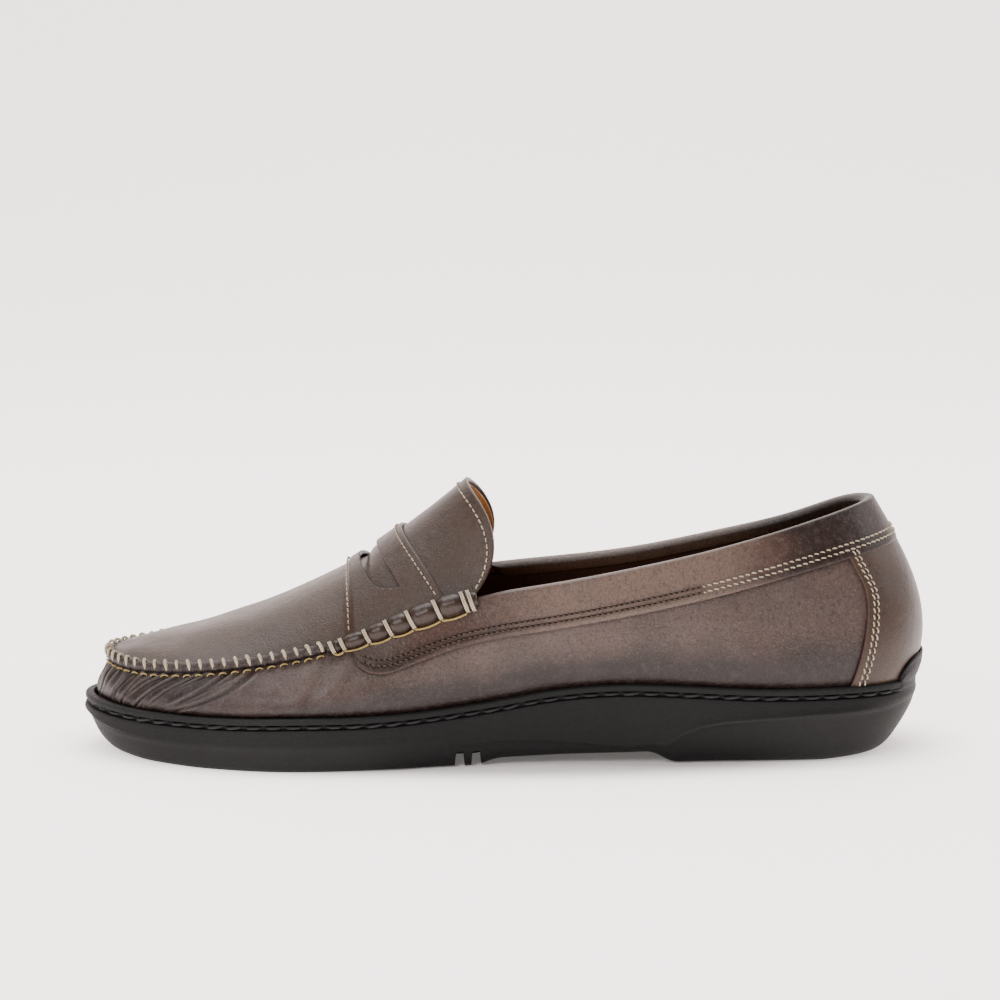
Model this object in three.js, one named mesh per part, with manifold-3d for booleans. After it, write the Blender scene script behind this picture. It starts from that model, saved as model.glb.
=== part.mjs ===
// Penny loafer, right shoe, in millimetres. Toe towards -X, medial side towards -Y, +Z up.
// The upper hangs between two rings: the feather line, where it meets the sole, and its top edge, which is the
// topline round the foot opening and the moccasin seam round the toe. Both rings have 24 stations: 0 is the
// centre of the heel, 6 the front of the opening on the medial side, 12 the toe, 18 the lateral front.
import * as THREE from 'three';
import { mergeVertices } from 'three/addons/utils/BufferGeometryUtils.js';
import Module from 'manifold-3d';

const wasm = await Module();
wasm.setup();

// ---- driving dimensions -------------------------------------------------------------------------------------
const LENGTH = 300; // outsole, toe to heel
const BALL_WIDTH = 101; // outsole, across the ball
const BACK_HEIGHT = 90.4; // ground to the top edge at the centre of the heel
const GAP = 0.3; // air left between pieces that touch
const UPPER_LEATHER = 1.6;
const PLUG_LEATHER = 1.4;
const STRAP_LEATHER = 1.6;
const BAND_LEATHER = 1.2;
const PANEL_LEATHER = 1.3;
const LINING = 1.0;
const COUNTER = 1.3;
const THREAD = 0.9;
const LIP_WIDTH = 2.8; // top of the rubber side wall
const CUP_DEPTH = 10; // lip to the floor inside the rubber cup
const MIDSOLE = 3.4;
const INSOLE_BOARD = 1.8;
const SOCK = 3.2; // padded footbed
const HEEL_PAD = 1.2;
const LASTING_MARGIN = 9; // leather turned in under the insole board
const BAND_WIDTH = 15; // collar band, down from the topline
const BAND_TURN = 4; // and turned in over the topline
const BAND_ENDS = 7.8; // stations of the band's two rounded tips, under the beefrolls
const BEEFROLL_HEIGHT = 7.6;
const BEEFROLL_DEPTH = 4.2;
const STITCH_INSET = 2.2; // seam to the edge it follows
const ROW_PITCH = 2.2; // between the two rows of a double seam
const SHANK = { length: 96, width: 13, thickness: 1.1 };
const SLOT = { reach: 0.79, width: 7 }; // penny slot; reach is its share of the plug's half width
const GROOVE = { drop: 5, height: 2.2, depth: 1.3 }; // stitch groove round the side wall
const HEEL_TAB = { height: 8.5, thickness: 1.3, reach: 1.3 }; // reach in stations to each side
const TREAD = { depth: 2.2, width: 2.6, pitch: 8.5 };
const LINING_SEAM = 6.2; // station where the quarter lining meets the vamp lining
const STRAP_REACH = 0.92; // share of the plug's half width that the strap covers
const ROLL = { front: 8.15, rear: 5.95 }; // stations of a beefroll's ends
const MOC_SEAM_START = 8.25; // station where the seam comes out from under the beefroll

const sx = LENGTH / 300;
const sy = BALL_WIDTH / 101;
const sz = BACK_HEIGHT / 90.4;

// ---- the two rings ------------------------------------------------------------------------------------------
const STATIONS = 24;
const FEATHER = ring([
  [144.5, 0], [136, -22], [115, -32], [84, -33], [52, -31.2], [18, -30.6], [-13, -33.5], [-38, -40],
  [-62, -44.5], [-87, -43.8], [-113, -36], [-134.5, -23.5], [-146.5, -1], [-133.5, 19.5], [-113, 33.8],
  [-87, 44.4], [-62, 50.3], [-38, 50.6], [-13, 47.6], [18, 42.3], [52, 37.8], [84, 35.2], [115, 32], [136, 22],
]);
const TOP_EDGE = ring([
  [130, 0, 90.4], [122, -14, 88.8], [103, -22, 83.6], [76, -26.5, 76.4], [46, -29.5, 69.8], [15, -32, 64.3],
  [-13, -33, 59.6], [-36, -34, 52], [-58, -34.3, 44.2], [-84, -34, 38.6], [-110, -30.5, 35.7],
  [-131, -20, 34.6], [-141, -1, 35.8], [-131, 18, 34.6], [-110, 30.5, 35.7], [-84, 36, 38.8],
  [-58, 38, 44.4], [-36, 38.5, 51], [-13, 37.5, 57.2], [15, 36, 61], [46, 33.5, 65.2], [76, 30.5, 71.8],
  [103, 24.5, 79.4], [122, 15, 87.6],
]);
// How far the side wall bulges outwards at each station.
const BULGE = loopOf([9, 7.5, 5, 4, 2.6, 2, 2.4, 3.4, 4.6, 4.4, 3.2, 1.8, 1.2, 1.8, 3.4, 5, 6, 5.4, 4.6, 4.2, 4, 4.4, 5.4, 7.5]);

// Ridge of the plug from the toe to the tip of the tongue, with the station where each cross line meets the seam.
const RIDGE = [
  [12, -141, 35.8], [11, -131, 40.2], [10, -110, 44.8], [9, -84, 54], [8, -58, 66], [7.1, -47, 72.4],
  [6.3, -36, 79.2], [6.08, -24, 87.8], [5.94, -13, 96.5],
];
const RIDGE_LENGTH = 147 * sx;
const STRAP_FRONT = 4 / 8; // along the ridge
const STRAP_REAR = 6 / 8;
const TONGUE_BOW = 8.5; // the tongue's free edge bows back between its tip and its roots

// Heights of the sole from toe to heel: the lip of its side wall, and its underside.
const LIP = [[-151, 21.6], [-141, 20.3], [-127, 19.4], [-109, 18.5], [-73, 18], [-55, 18.4], [-37, 20.2],
  [-20, 22.7], [-2, 25.4], [16, 27.7], [34, 29.1], [48, 29.4], [70, 28.9], [91, 27.5], [123, 26.9], [151, 26.3]];
const UNDERSIDE = [[-151, 12], [-146, 6.5], [-139, 3.2], [-127, 1.4], [-109, 0], [-9, 0], [-3.5, 3.2], [20, 4.4],
  [52, 4.4], [59, 0], [112, 0], [134, 1.6], [151, 4]];

function ring(points) {
  const scaled = points.map(([x, y, z = 0]) => new THREE.Vector3(x * sx, y * sy, z * sz));
  return new THREE.CatmullRomCurve3(scaled, true, 'catmullrom', 0.5);
}

function loopOf(values) {
  return new THREE.CatmullRomCurve3(values.map((v) => new THREE.Vector3(v, 0, 0)), true, 'catmullrom', 0.5);
}

function at(curve, station) {
  return curve.getPoint((((station / STATIONS) % 1) + 1) % 1);
}

function lookup(table, x) {
  const i = Math.min(Math.max(table.findIndex((row) => row[0] > x), 1), table.length - 1);
  const [x0, y0] = table[i - 1];
  const [x1, y1] = table[i];
  return y0 + ((y1 - y0) * THREE.MathUtils.clamp(x - x0, 0, x1 - x0)) / (x1 - x0);
}

// Every piece that follows a ring is faceted at the same stations, so that neighbours stay clear of each other.
const RING_SAMPLES = 64;
const RISES = [0.02, 0.14, 0.3, 0.5, 0.7, 0.85, 1];

function stationsIn(from, to) {
  const pitch = STATIONS / RING_SAMPLES;
  const all = Array.from({ length: 2 * RING_SAMPLES }, (_, i) => (i + 0.5 - RING_SAMPLES) * pitch);
  return all.filter((station) => station >= from && station <= to);
}

function steps(from, to, count) {
  return Array.from({ length: count + 1 }, (_, i) => from + ((to - from) * i) / count);
}

// ---- surfaces -----------------------------------------------------------------------------------------------
// Horizontal outward direction of the feather line.
function outward(station) {
  const along = at(FEATHER, station + 0.05).sub(at(FEATHER, station - 0.05));
  return new THREE.Vector3(along.y, -along.x, 0).normalize().negate();
}

function lipHeight(x) {
  return lookup(LIP, x / sx) * sz;
}

// Point on a ring parallel to the feather line: out from it in plan and up from the lip.
function rim(station, out, up) {
  const point = at(FEATHER, station).addScaledVector(outward(station), out);
  return point.setZ(lipHeight(point.x) + up);
}

function wallBase(station, rise) {
  const bulge = at(BULGE, station).x * Math.sin(Math.PI * Math.pow(THREE.MathUtils.clamp(rise, 0, 1), 0.8));
  const point = rim(station, 0, 0).lerp(at(TOP_EDGE, station), rise);
  return point.addScaledVector(outward(station), bulge);
}

function normalOf(surface, a, b) {
  const e = 0.02;
  const alongA = surface(a + e, b).sub(surface(a - e, b));
  const alongB = surface(a, b + e).sub(surface(a, b - e));
  return alongA.cross(alongB).normalize();
}

// Side wall of the upper: rise 0 at the lip and 1 at the top edge, out along the surface's own normal.
function wall(station, rise, out) {
  const normal = normalOf(wallBase, station, THREE.MathUtils.clamp(rise, 0.06, 0.94));
  return wallBase(station, rise).addScaledVector(normal, -out);
}

function wallHeight(station) {
  return rim(station, 0, 0).distanceTo(at(TOP_EDGE, station));
}

function ridgeAt(along) {
  const curve = new THREE.CatmullRomCurve3(
    RIDGE.map(([station, x, z]) => new THREE.Vector3(station, x * sx, z * sz)), false, 'catmullrom', 0.5);
  return curve.getPoint(along);
}

// Plug and tongue: along 0 at the toe and 1 at the tip of the tongue, across -1 medial seam to 1 lateral seam.
function plugBase(along, across) {
  const { x: station, y: ridgeX, z: ridgeZ } = ridgeAt(THREE.MathUtils.clamp(along, 0, 1));
  const seam = at(TOP_EDGE, across < 0 ? station : STATIONS - station);
  const rise = 1 - Math.pow(Math.abs(across), 2.3);
  const bow = TONGUE_BOW * THREE.MathUtils.smoothstep(along, STRAP_REAR - 0.05, 1) * 4 * rise * (1 - rise);
  return new THREE.Vector3(
    THREE.MathUtils.lerp(seam.x, ridgeX, rise) + bow * sx,
    seam.y * Math.abs(across),
    THREE.MathUtils.lerp(seam.z, ridgeZ, rise),
  );
}

function plug(along, across, out) {
  const a = THREE.MathUtils.clamp(along, 0.04, 0.97);
  const b = THREE.MathUtils.clamp(across, -0.97, 0.97);
  return plugBase(along, across).addScaledVector(normalOf(plugBase, a, b), out);
}

// ---- solids -------------------------------------------------------------------------------------------------
// Joins loops of equal length into one closed skin. An open skin is capped by strips across its end loops, from
// the first point to the last, so a loop runs out along one side and back along the other.
function skin(loops, closed = false) {
  const n = loops[0].length;
  const index = [];
  const quad = (a, b, c, d) => index.push(a, b, c, a, c, d);
  const last = closed ? loops.length : loops.length - 1;
  for (let j = 0; j < last; j += 1) {
    const here = j * n;
    const next = ((j + 1) % loops.length) * n;
    for (let k = 0; k < n; k += 1) {
      const m = (k + 1) % n;
      quad(here + k, here + m, next + m, next + k);
    }
  }
  if (!closed) {
    const end = (loops.length - 1) * n;
    for (let k = 0; k < n / 2 - 1; k += 1) {
      quad(k, n - 1 - k, n - 2 - k, k + 1);
      quad(end + k, end + k + 1, end + n - 2 - k, end + n - 1 - k);
    }
  }
  const geometry = new THREE.BufferGeometry().setFromPoints(loops.flat()).setIndex(index);
  if (volumeOf(geometry) < 0) index.reverse();
  return mergeVertices(geometry.setIndex(index), 1e-4);
}

function volumeOf(geometry) {
  const p = geometry.getAttribute('position');
  const corner = [0, 1, 2].map(() => new THREE.Vector3());
  let volume = 0;
  for (let i = 0; i < geometry.index.count; i += 3) {
    corner.forEach((v, k) => v.fromBufferAttribute(p, geometry.index.getX(i + k)));
    volume += corner[0].dot(corner[1].cross(corner[2])) / 6;
  }
  return volume;
}

// A sheet between two offsets of a surface: place(a, b, out) gives the points.
function sheet(place, alongs, acrosses, inner, outer, closed = false) {
  return skin(alongs.map((a) => [
    ...acrosses.map((b) => place(a, b, outer)),
    ...acrosses.map((b) => place(a, b, inner)).reverse(),
  ]), closed);
}

// A flat plate that fills the cup: inset from the feather line, between two heights over the lip.
function plate(inset, low, high) {
  const loop = (up) => stationsIn(0, STATIONS).map((s) => rim(s, -inset, up));
  return skin([loop(low), loop(high)]);
}

function solidOf(geometry) {
  const bare = geometry.clone();
  bare.deleteAttribute('normal');
  bare.deleteAttribute('uv');
  const merged = mergeVertices(bare, 1e-4);
  return new wasm.Manifold(new wasm.Mesh({
    numProp: 3, vertProperties: merged.attributes.position.array, triVerts: new Uint32Array(merged.index.array),
  }));
}

function geometryOf(solid) {
  const mesh = solid.getMesh();
  return new THREE.BufferGeometry()
    .setAttribute('position', new THREE.BufferAttribute(new Float32Array(mesh.vertProperties), 3))
    .setIndex(new THREE.BufferAttribute(new Uint32Array(mesh.triVerts), 1));
}

function cut(geometry, cutters) {
  return geometryOf(cutters.reduce((solid, cutter) => solid.subtract(solidOf(cutter)), solidOf(geometry)));
}

function join(geometry, other) {
  return geometryOf(solidOf(geometry).add(solidOf(other)));
}

// Thread laid along a route of points.
function thread(points, size = THREAD) {
  const path = new THREE.CatmullRomCurve3(points, false, 'centripetal');
  const section = new THREE.Shape(new THREE.EllipseCurve(0, 0, size / 2, size / 2).getPoints(4).slice(0, 4));
  return new THREE.ExtrudeGeometry(section, { steps: points.length - 1, bevelEnabled: false, extrudePath: path });
}

// ---- sole and insole ----------------------------------------------------------------------------------------
// How far the foot of the rubber wall tucks in under the lip at each station.
const TUCK = loopOf([12, 9.5, 8, 7.5, 3, 0.6, 0.8, 1.5, 1.8, 1.5, 1.5, 2.5, 4, 2.5, 1.5, 1.5, 1.8, 1.5, 0.8, 0.6, 3, 7.5,
  8, 9.5]);
const MIDSOLE_LOW = GAP - CUP_DEPTH;
const MARGIN_LOW = MIDSOLE_LOW + MIDSOLE + GAP;
const BOARD_LOW = MARGIN_LOW + UPPER_LEATHER + GAP;
const SOCK_LOW = BOARD_LOW + INSOLE_BOARD + GAP;
const COUNTER_OUT = -UPPER_LEATHER - GAP; // outer face of the heel counter, in from the upper's surface
const LINING_OUT = -UPPER_LEATHER - GAP;
const PUSHED_IN = COUNTER + GAP; // the lining goes round the counter
const SOCK_INSET = UPPER_LEATHER + PUSHED_IN + LINING + 2 * GAP + 0.3;

// Station on the medial side where the feather line comes nearest to this x.
function stationAt(x) {
  return steps(0.3, 11.7, 300).find((station) => at(FEATHER, station).x <= x);
}

// Point inside the cup at a given height over the lip line.
function overFloor(x, y, up) {
  return new THREE.Vector3(x, y, lipHeight(x) + up);
}

function underside(x) {
  return lookup(UNDERSIDE, x / sx);
}

function treadCutter(x, width, depth, inset) {
  const station = stationAt(x);
  const medial = inset === 0 ? -BALL_WIDTH : rim(station, -inset, 0).y;
  const lateral = inset === 0 ? BALL_WIDTH : rim(STATIONS - station, -inset, 0).y;
  return new THREE.BoxGeometry(width, lateral - medial, 2 * depth).translate(x, (medial + lateral) / 2, 0);
}

// Places of the tread's grooves between two places along the sole.
function grooves(from, to) {
  return steps(from * sx, to * sx, Math.round(((to - from) * sx) / TREAD.pitch));
}

function outsole() {
  const grooveTop = -GROOVE.drop + GROOVE.height / 2;
  const grooveFoot = -GROOVE.drop - GROOVE.height / 2;
  const sole = (s, out, share) => {
    const point = rim(s, out, 0);
    const foot = underside(point.x);
    return point.setZ(THREE.MathUtils.lerp(foot, point.z, share));
  };
  const profile = [
    (s) => rim(s, GAP, -CUP_DEPTH),
    (s) => rim(s, GAP, 0),
    (s) => rim(s, LIP_WIDTH, -0.2),
    (s) => rim(s, LIP_WIDTH + 0.4, grooveTop),
    (s) => rim(s, LIP_WIDTH + 0.4 - GROOVE.depth, grooveTop - 0.3),
    (s) => rim(s, LIP_WIDTH + 0.4 - GROOVE.depth, grooveFoot + 0.3),
    (s) => rim(s, LIP_WIDTH + 0.6, grooveFoot),
    (s) => sole(s, LIP_WIDTH + 0.8, 0.52),
    (s) => sole(s, LIP_WIDTH + 0.3 - 0.75 * at(TUCK, s).x, 0.14),
    (s) => sole(s, LIP_WIDTH - 2 - at(TUCK, s).x, 0),
  ];
  const body = skin(profile.map((place) => stationsIn(0, STATIONS).map(place)));
  const cleats = [
    ...grooves(-116, -31).map((x) => treadCutter(x, TREAD.width, TREAD.depth, 7)),
    ...grooves(72, 123).map((x) => treadCutter(x, TREAD.width, TREAD.depth, 12)),
    treadCutter(-17 * sx, 3, 4.6, 0),
    treadCutter(-10.5 * sx, 3.4, 6.4, 0),
  ];
  return join(cut(body, cleats), heelTab());
}

// Rubber tab that rises from the lip up the back of the heel.
function heelTab() {
  const inner = 3 * GAP + PANEL_LEATHER;
  return sheet((s, share, out) => {
    const edge = Math.cos((s / HEEL_TAB.reach) * Math.PI * 0.5);
    const height = HEEL_TAB.height * Math.sqrt(Math.max(edge, 0.02));
    return wall(s, (height * share - 1.5) / wallHeight(s), out);
  }, stationsIn(-HEEL_TAB.reach, HEEL_TAB.reach), [0, 0.5, 1], inner, inner + HEEL_TAB.thickness);
}

function midsole() {
  return plate(GAP, MIDSOLE_LOW, MIDSOLE_LOW + MIDSOLE);
}

// The steel shank lies in a slot right through the bottom filler.
function shankBar(clearance) {
  const middle = 46 * sx;
  const half = SHANK.length / 2 + clearance;
  const wide = SHANK.width / 2 + clearance;
  const low = MARGIN_LOW + (clearance ? -1 : 0);
  const high = MARGIN_LOW + SHANK.thickness + (clearance ? 1.5 : 0);
  return sheet(overFloor, steps(middle - half, middle + half, 14), [4 - wide, 4 + wide], low, high);
}

function bottomFiller() {
  const slab = plate(LASTING_MARGIN + GAP, MARGIN_LOW, MARGIN_LOW + UPPER_LEATHER);
  return cut(slab, [shankBar(GAP)]);
}

function insoleBoard() {
  return plate(UPPER_LEATHER + GAP, BOARD_LOW, BOARD_LOW + INSOLE_BOARD);
}

function padDisc(clearance) {
  const loop = (up) => steps(0, 2 * Math.PI, 28).slice(0, -1).map((turn) => {
    const angle = turn + Math.PI / 28;
    return overFloor(98 * sx + (30 + clearance) * Math.cos(angle), (19 + clearance) * sy * Math.sin(angle), up);
  });
  return skin([loop(SOCK_LOW - (clearance ? 1 : 0)), loop(SOCK_LOW + HEEL_PAD + clearance)]);
}

function sockLining() {
  return cut(plate(SOCK_INSET, SOCK_LOW, SOCK_LOW + SOCK), [padDisc(GAP)]);
}

// ---- upper --------------------------------------------------------------------------------------------------
function vampQuarter() {
  const floor = MARGIN_LOW;
  const section = (s) => [
    rim(s, -LASTING_MARGIN, floor),
    rim(s, 0, floor),
    rim(s, 0, -0.1),
    ...RISES.map((rise) => wall(s, rise, 0)),
    ...RISES.map((rise) => wall(s, rise, -UPPER_LEATHER)).reverse(),
    rim(s, -UPPER_LEATHER, -0.1),
    rim(s, -UPPER_LEATHER, floor + UPPER_LEATHER),
    rim(s, -LASTING_MARGIN, floor + UPPER_LEATHER),
  ];
  return skin(stationsIn(0, STATIONS).map(section), true);
}

function plugTongue() {
  const alongs = [0.012, 0.04, ...steps(0.08, 1, 17)];
  return sheet(plug, alongs, steps(-1, 1, 14), GAP, GAP + PLUG_LEATHER);
}

const STRAP_LOW = 2 * GAP + PLUG_LEATHER;
const STRAP_HIGH = STRAP_LOW + STRAP_LEATHER;

function slotCutter() {
  const rear = STRAP_FRONT + 0.16;
  const width = SLOT.width / RIDGE_LENGTH;
  const place = (share, side, out) => {
    const narrow = width * (1 - 0.6 * Math.abs(share) ** 1.6);
    return plug(rear + 0.013 * Math.abs(share) - narrow * side, SLOT.reach * share, out);
  };
  return sheet(place, steps(-1, 1, 14), [0, 1], STRAP_LOW - 1, STRAP_HIGH + 2);
}

function saddleStrap() {
  const band = sheet(plug, steps(STRAP_FRONT + 0.008, STRAP_REAR, 6), steps(-STRAP_REACH, STRAP_REACH, 14),
    STRAP_LOW, STRAP_HIGH);
  return cut(band, [slotCutter()]);
}

// Frame on the seam where plug and side wall meet: out bisects their faces, up lies across the seam.
function seamFrame(station) {
  const along = alongAt(station);
  const side = station < STATIONS / 2 ? -0.97 : 0.97;
  const out = normalOf(wallBase, station, 0.94).negate()
    .add(normalOf(plugBase, THREE.MathUtils.clamp(along, 0.04, 0.97), side)).normalize();
  const run = at(TOP_EDGE, station + 0.05).sub(at(TOP_EDGE, station - 0.05)).normalize();
  return { point: at(TOP_EDGE, station), out, up: out.clone().cross(run).normalize() };
}

// Place along the ridge whose cross line meets the seam at this station.
function alongAt(station) {
  const medial = station < STATIONS / 2 ? station : STATIONS - station;
  return steps(0, 1, 200).find((along) => ridgeAt(along).x <= medial) ?? 1;
}

function rollStation(share, lateral) {
  const station = THREE.MathUtils.lerp(ROLL.front, ROLL.rear, share);
  return lateral ? STATIONS - station : station;
}

function beefroll(lateral) {
  const low = STRAP_LOW;
  const section = (share) => {
    const { point, out, up } = seamFrame(rollStation(share, lateral));
    const fat = THREE.MathUtils.lerp(0.72, 1, THREE.MathUtils.smoothstep(share, 0, 0.7));
    return steps(Math.PI / 2, -Math.PI / 2, 8).map((angle) => point.clone()
      .addScaledVector(out, low + BEEFROLL_DEPTH * fat * Math.cos(angle))
      .addScaledVector(up, (BEEFROLL_HEIGHT / 2) * fat * Math.sin(angle)));
  };
  return skin(steps(0, 1, 12).map(section));
}

function beefrollLashing(lateral) {
  const reach = STRAP_LOW + BEEFROLL_DEPTH + GAP + THREAD;
  const route = steps(0, 14, 14).map((i) => {
    const { point, out, up } = seamFrame(rollStation(0.07 + 0.063 * i, lateral));
    return point.addScaledVector(out, reach).addScaledVector(up, i % 2 ? 1.6 : -1.6);
  });
  return thread(route);
}

// The band's width at a station: full until its rounded tips.
function bandWidth(station) {
  const tip = THREE.MathUtils.clamp(Math.abs(station) - BAND_ENDS + 0.75, 0, 0.75);
  return BAND_WIDTH * Math.sqrt(1 - tip * tip);
}

// The collar band: a strip down from the topline, turned in over it except under the beefrolls.
function collarBand() {
  const outer = GAP + BAND_LEATHER;
  const inner = -UPPER_LEATHER - GAP;
  const place = (s, share, out) => wall(s, 1 - (share * bandWidth(s)) / wallHeight(s), out);
  const strip = sheet(place, stationsIn(-BAND_ENDS, BAND_ENDS), [1, 0.7, 0.4, 0.08], GAP, outer);
  const over = [[outer, -2], [outer, 0.2], [outer - 0.9, outer], [inner - 0.4, outer],
    [inner - BAND_LEATHER, -0.4], [inner - BAND_LEATHER, -BAND_TURN]];
  const under = [[GAP, -2], [GAP, 0], [GAP - 0.4, GAP], [inner + 0.1, GAP], [inner, -0.6], [inner, -BAND_TURN]];
  const section = (s) => {
    const out = normalOf(wallBase, s, 0.94).negate();
    const up = at(TOP_EDGE, s).sub(wallBase(s, 0.97)).normalize();
    return [...over, ...under.slice().reverse()].map(([away, rise]) => at(TOP_EDGE, s)
      .addScaledVector(out, away).addScaledVector(up, rise));
  };
  return join(strip, skin(stationsIn(-5.7, 5.7).map(section)));
}

// Station of the heel panel's front edge at each rise.
function panelEdge(rise) {
  return 1.74 - 1.1 * rise + 0.5 * rise * rise + 0.2 * THREE.MathUtils.smoothstep(rise, 0.5, 0.8);
}

function heelPanel() {
  const place = (share, height, out) => {
    const rise = height * (1 - (BAND_WIDTH + 2 * GAP) / wallHeight(share * panelEdge(1)));
    return wall(share * panelEdge(rise), rise, out);
  };
  return sheet(place, steps(-1, 1, 24), steps(0.04, 1, 5), GAP, GAP + PANEL_LEATHER);
}

function heelCounter() {
  return sheet(wall, stationsIn(-2.6, 2.6), [0.03, ...RISES.slice(1, 5)], COUNTER_OUT - COUNTER, COUNTER_OUT);
}

function quarterLining() {
  const push = (s, rise) => PUSHED_IN * (1 - THREE.MathUtils.smoothstep(Math.abs(s), 2.75, 3.5))
    * (1 - THREE.MathUtils.smoothstep(rise, 0.74, 0.84));
  const place = (s, share, out) => {
    const rise = share * (1 - (BAND_TURN + 2 * GAP) / wallHeight(s));
    return wall(s, rise, LINING_OUT - push(s, rise) + out);
  };
  return sheet(place, stationsIn(-LINING_SEAM, LINING_SEAM), [0.01, ...RISES.slice(1, 5), 0.78, 0.9, 1], -LINING, 0);
}

function vampLining() {
  const place = (s, rise, out) => wall(s, rise, LINING_OUT + out);
  return sheet(place, stationsIn(LINING_SEAM, STATIONS - LINING_SEAM), [0.01, ...RISES.slice(1, 6)], -LINING, 0);
}

function plugLining() {
  return sheet(plug, steps(0.1, 0.985, 16), steps(-0.88, 0.88, 12), -LINING, 0);
}

// ---- threads ------------------------------------------------------------------------------------------------
const LIFT = GAP + THREAD / 2;

function sidewallThread() {
  const out = LIP_WIDTH + 0.4 - GROOVE.depth + LIFT;
  return thread(stationsIn(0, STATIONS).map((s) => rim(s, out, -GROOVE.drop)));
}

function mocSeamThread() {
  return thread(stationsIn(MOC_SEAM_START, STATIONS - MOC_SEAM_START).map((s) => {
    const { point, out } = seamFrame(s);
    return point.addScaledVector(out, GAP + PLUG_LEATHER + LIFT + 0.5);
  }));
}

function onPlug(along, reach, height) {
  return thread(steps(-reach, reach, 18).map((across) => plug(along, across, height + LIFT)));
}

function collarThread(row) {
  const inset = STITCH_INSET + ROW_PITCH * row;
  return thread(steps(0.2 - BAND_ENDS, BAND_ENDS - 0.2, 76).map((s) => {
    const drop = bandWidth(s) - inset;
    return wall(s, 1 - drop / wallHeight(s), GAP + BAND_LEATHER + LIFT);
  }));
}

function panelThread(side, row) {
  const inset = 0.1 + 0.08 * row;
  const top = 1 - (BAND_WIDTH + 1.5) / wallHeight(0);
  return thread(steps(0.05, top, 9).map((rise) => wall(side * (panelEdge(rise) - inset), rise,
    GAP + PANEL_LEATHER + LIFT)));
}

// ---- assembly -----------------------------------------------------------------------------------------------
const LOOKS = {
  leather: { color: 0x54382f, roughness: 0.46 },
  plug: { color: 0x5a463a, roughness: 0.44 },
  band: { color: 0x4a302a, roughness: 0.48 },
  rubber: { color: 0x2c2c2d, roughness: 0.85 },
  tan: { color: 0xb9874a, roughness: 0.8 },
  darkLining: { color: 0x3d221b, roughness: 0.75 },
  thread: { color: 0xb5a489, roughness: 0.8 },
  darkThread: { color: 0x1f1d1c, roughness: 0.8 },
  foam: { color: 0xd8d2c4, roughness: 0.95 },
  fibre: { color: 0x8a6f52, roughness: 0.9 },
  steel: { color: 0x9a9ca0, roughness: 0.4, metalness: 0.9 },
};

const shoe = new THREE.Group();
shoe.name = 'penny_loafer';

function place(name, geometry, look) {
  const mesh = new THREE.Mesh(geometry, new THREE.MeshStandardMaterial({ metalness: 0, ...LOOKS[look] }));
  mesh.name = name;
  shoe.add(mesh);
}

place('outsole', outsole(), 'rubber');
place('sidewall_stitch', sidewallThread(), 'darkThread');
place('midsole_filler', midsole(), 'foam');
place('bottom_filler', bottomFiller(), 'fibre');
place('shank', shankBar(0), 'steel');
place('insole_board', insoleBoard(), 'fibre');
place('heel_pad', padDisc(0), 'foam');
place('sock_lining', sockLining(), 'tan');
place('vamp_quarter', vampQuarter(), 'leather');
place('plug_tongue', plugTongue(), 'plug');
place('saddle_strap', saddleStrap(), 'plug');
place('collar_band', collarBand(), 'band');
place('heel_panel', heelPanel(), 'plug');
place('heel_counter', heelCounter(), 'fibre');
place('quarter_lining', quarterLining(), 'darkLining');
place('vamp_lining', vampLining(), 'tan');
place('plug_lining', plugLining(), 'tan');
place('moc_seam_stitch', mocSeamThread(), 'thread');
place('strap_front_stitch', onPlug(STRAP_FRONT + 0.03, STRAP_REACH - 0.02, STRAP_HIGH), 'thread');
place('strap_rear_stitch', onPlug(STRAP_REAR - 0.02, STRAP_REACH - 0.02, STRAP_HIGH), 'thread');
place('tongue_edge_stitch', onPlug(0.972, 0.93, GAP + PLUG_LEATHER), 'thread');
place('collar_stitch_lower', collarThread(0), 'thread');
place('collar_stitch_upper', collarThread(1), 'thread');
for (const [name, side] of [['medial', 1], ['lateral', -1]]) {
  place(`beefroll_${name}`, beefroll(side < 0), 'leather');
  place(`beefroll_${name}_lashing`, beefrollLashing(side < 0), 'thread');
  place(`panel_stitch_${name}_front`, panelThread(side, 0), 'thread');
  place(`panel_stitch_${name}_back`, panelThread(side, 1), 'thread');
}

// The origin is at the bottom centre of the shoe's own box.
const box = new THREE.Box3().setFromObject(shoe);
const centre = box.getCenter(new THREE.Vector3());
shoe.position.set(-centre.x, -centre.y, -box.min.z);

export default shoe;
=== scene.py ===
"""Penny loafer in brown leather on a black rubber cup sole, built over its CAD frame.

Lengths are millimetres on the shoe's own axes until a mesh is made, which puts them into the frame in metres.
The toe points along -X, the medial side along -Y and the ground is z 0. Stations run round the shoe:
0 centre of the heel, 6 front of the opening, 12 toe, 18 lateral front of the opening.
"""
import math

import bmesh
import bpy
import numpy as np
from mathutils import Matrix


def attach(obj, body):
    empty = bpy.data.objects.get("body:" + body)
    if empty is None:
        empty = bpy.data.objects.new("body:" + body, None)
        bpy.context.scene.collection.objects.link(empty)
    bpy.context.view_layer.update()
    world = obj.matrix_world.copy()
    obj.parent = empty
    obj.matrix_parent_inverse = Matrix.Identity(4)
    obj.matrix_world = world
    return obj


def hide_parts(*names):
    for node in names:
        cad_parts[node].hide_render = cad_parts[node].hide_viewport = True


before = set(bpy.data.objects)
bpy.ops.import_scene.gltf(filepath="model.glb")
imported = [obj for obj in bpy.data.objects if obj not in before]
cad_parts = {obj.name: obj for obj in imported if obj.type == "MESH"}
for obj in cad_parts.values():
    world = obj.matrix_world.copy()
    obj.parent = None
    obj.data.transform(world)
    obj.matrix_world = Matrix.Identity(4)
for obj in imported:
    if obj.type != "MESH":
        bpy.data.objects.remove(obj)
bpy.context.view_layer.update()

MM = 0.001
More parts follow.
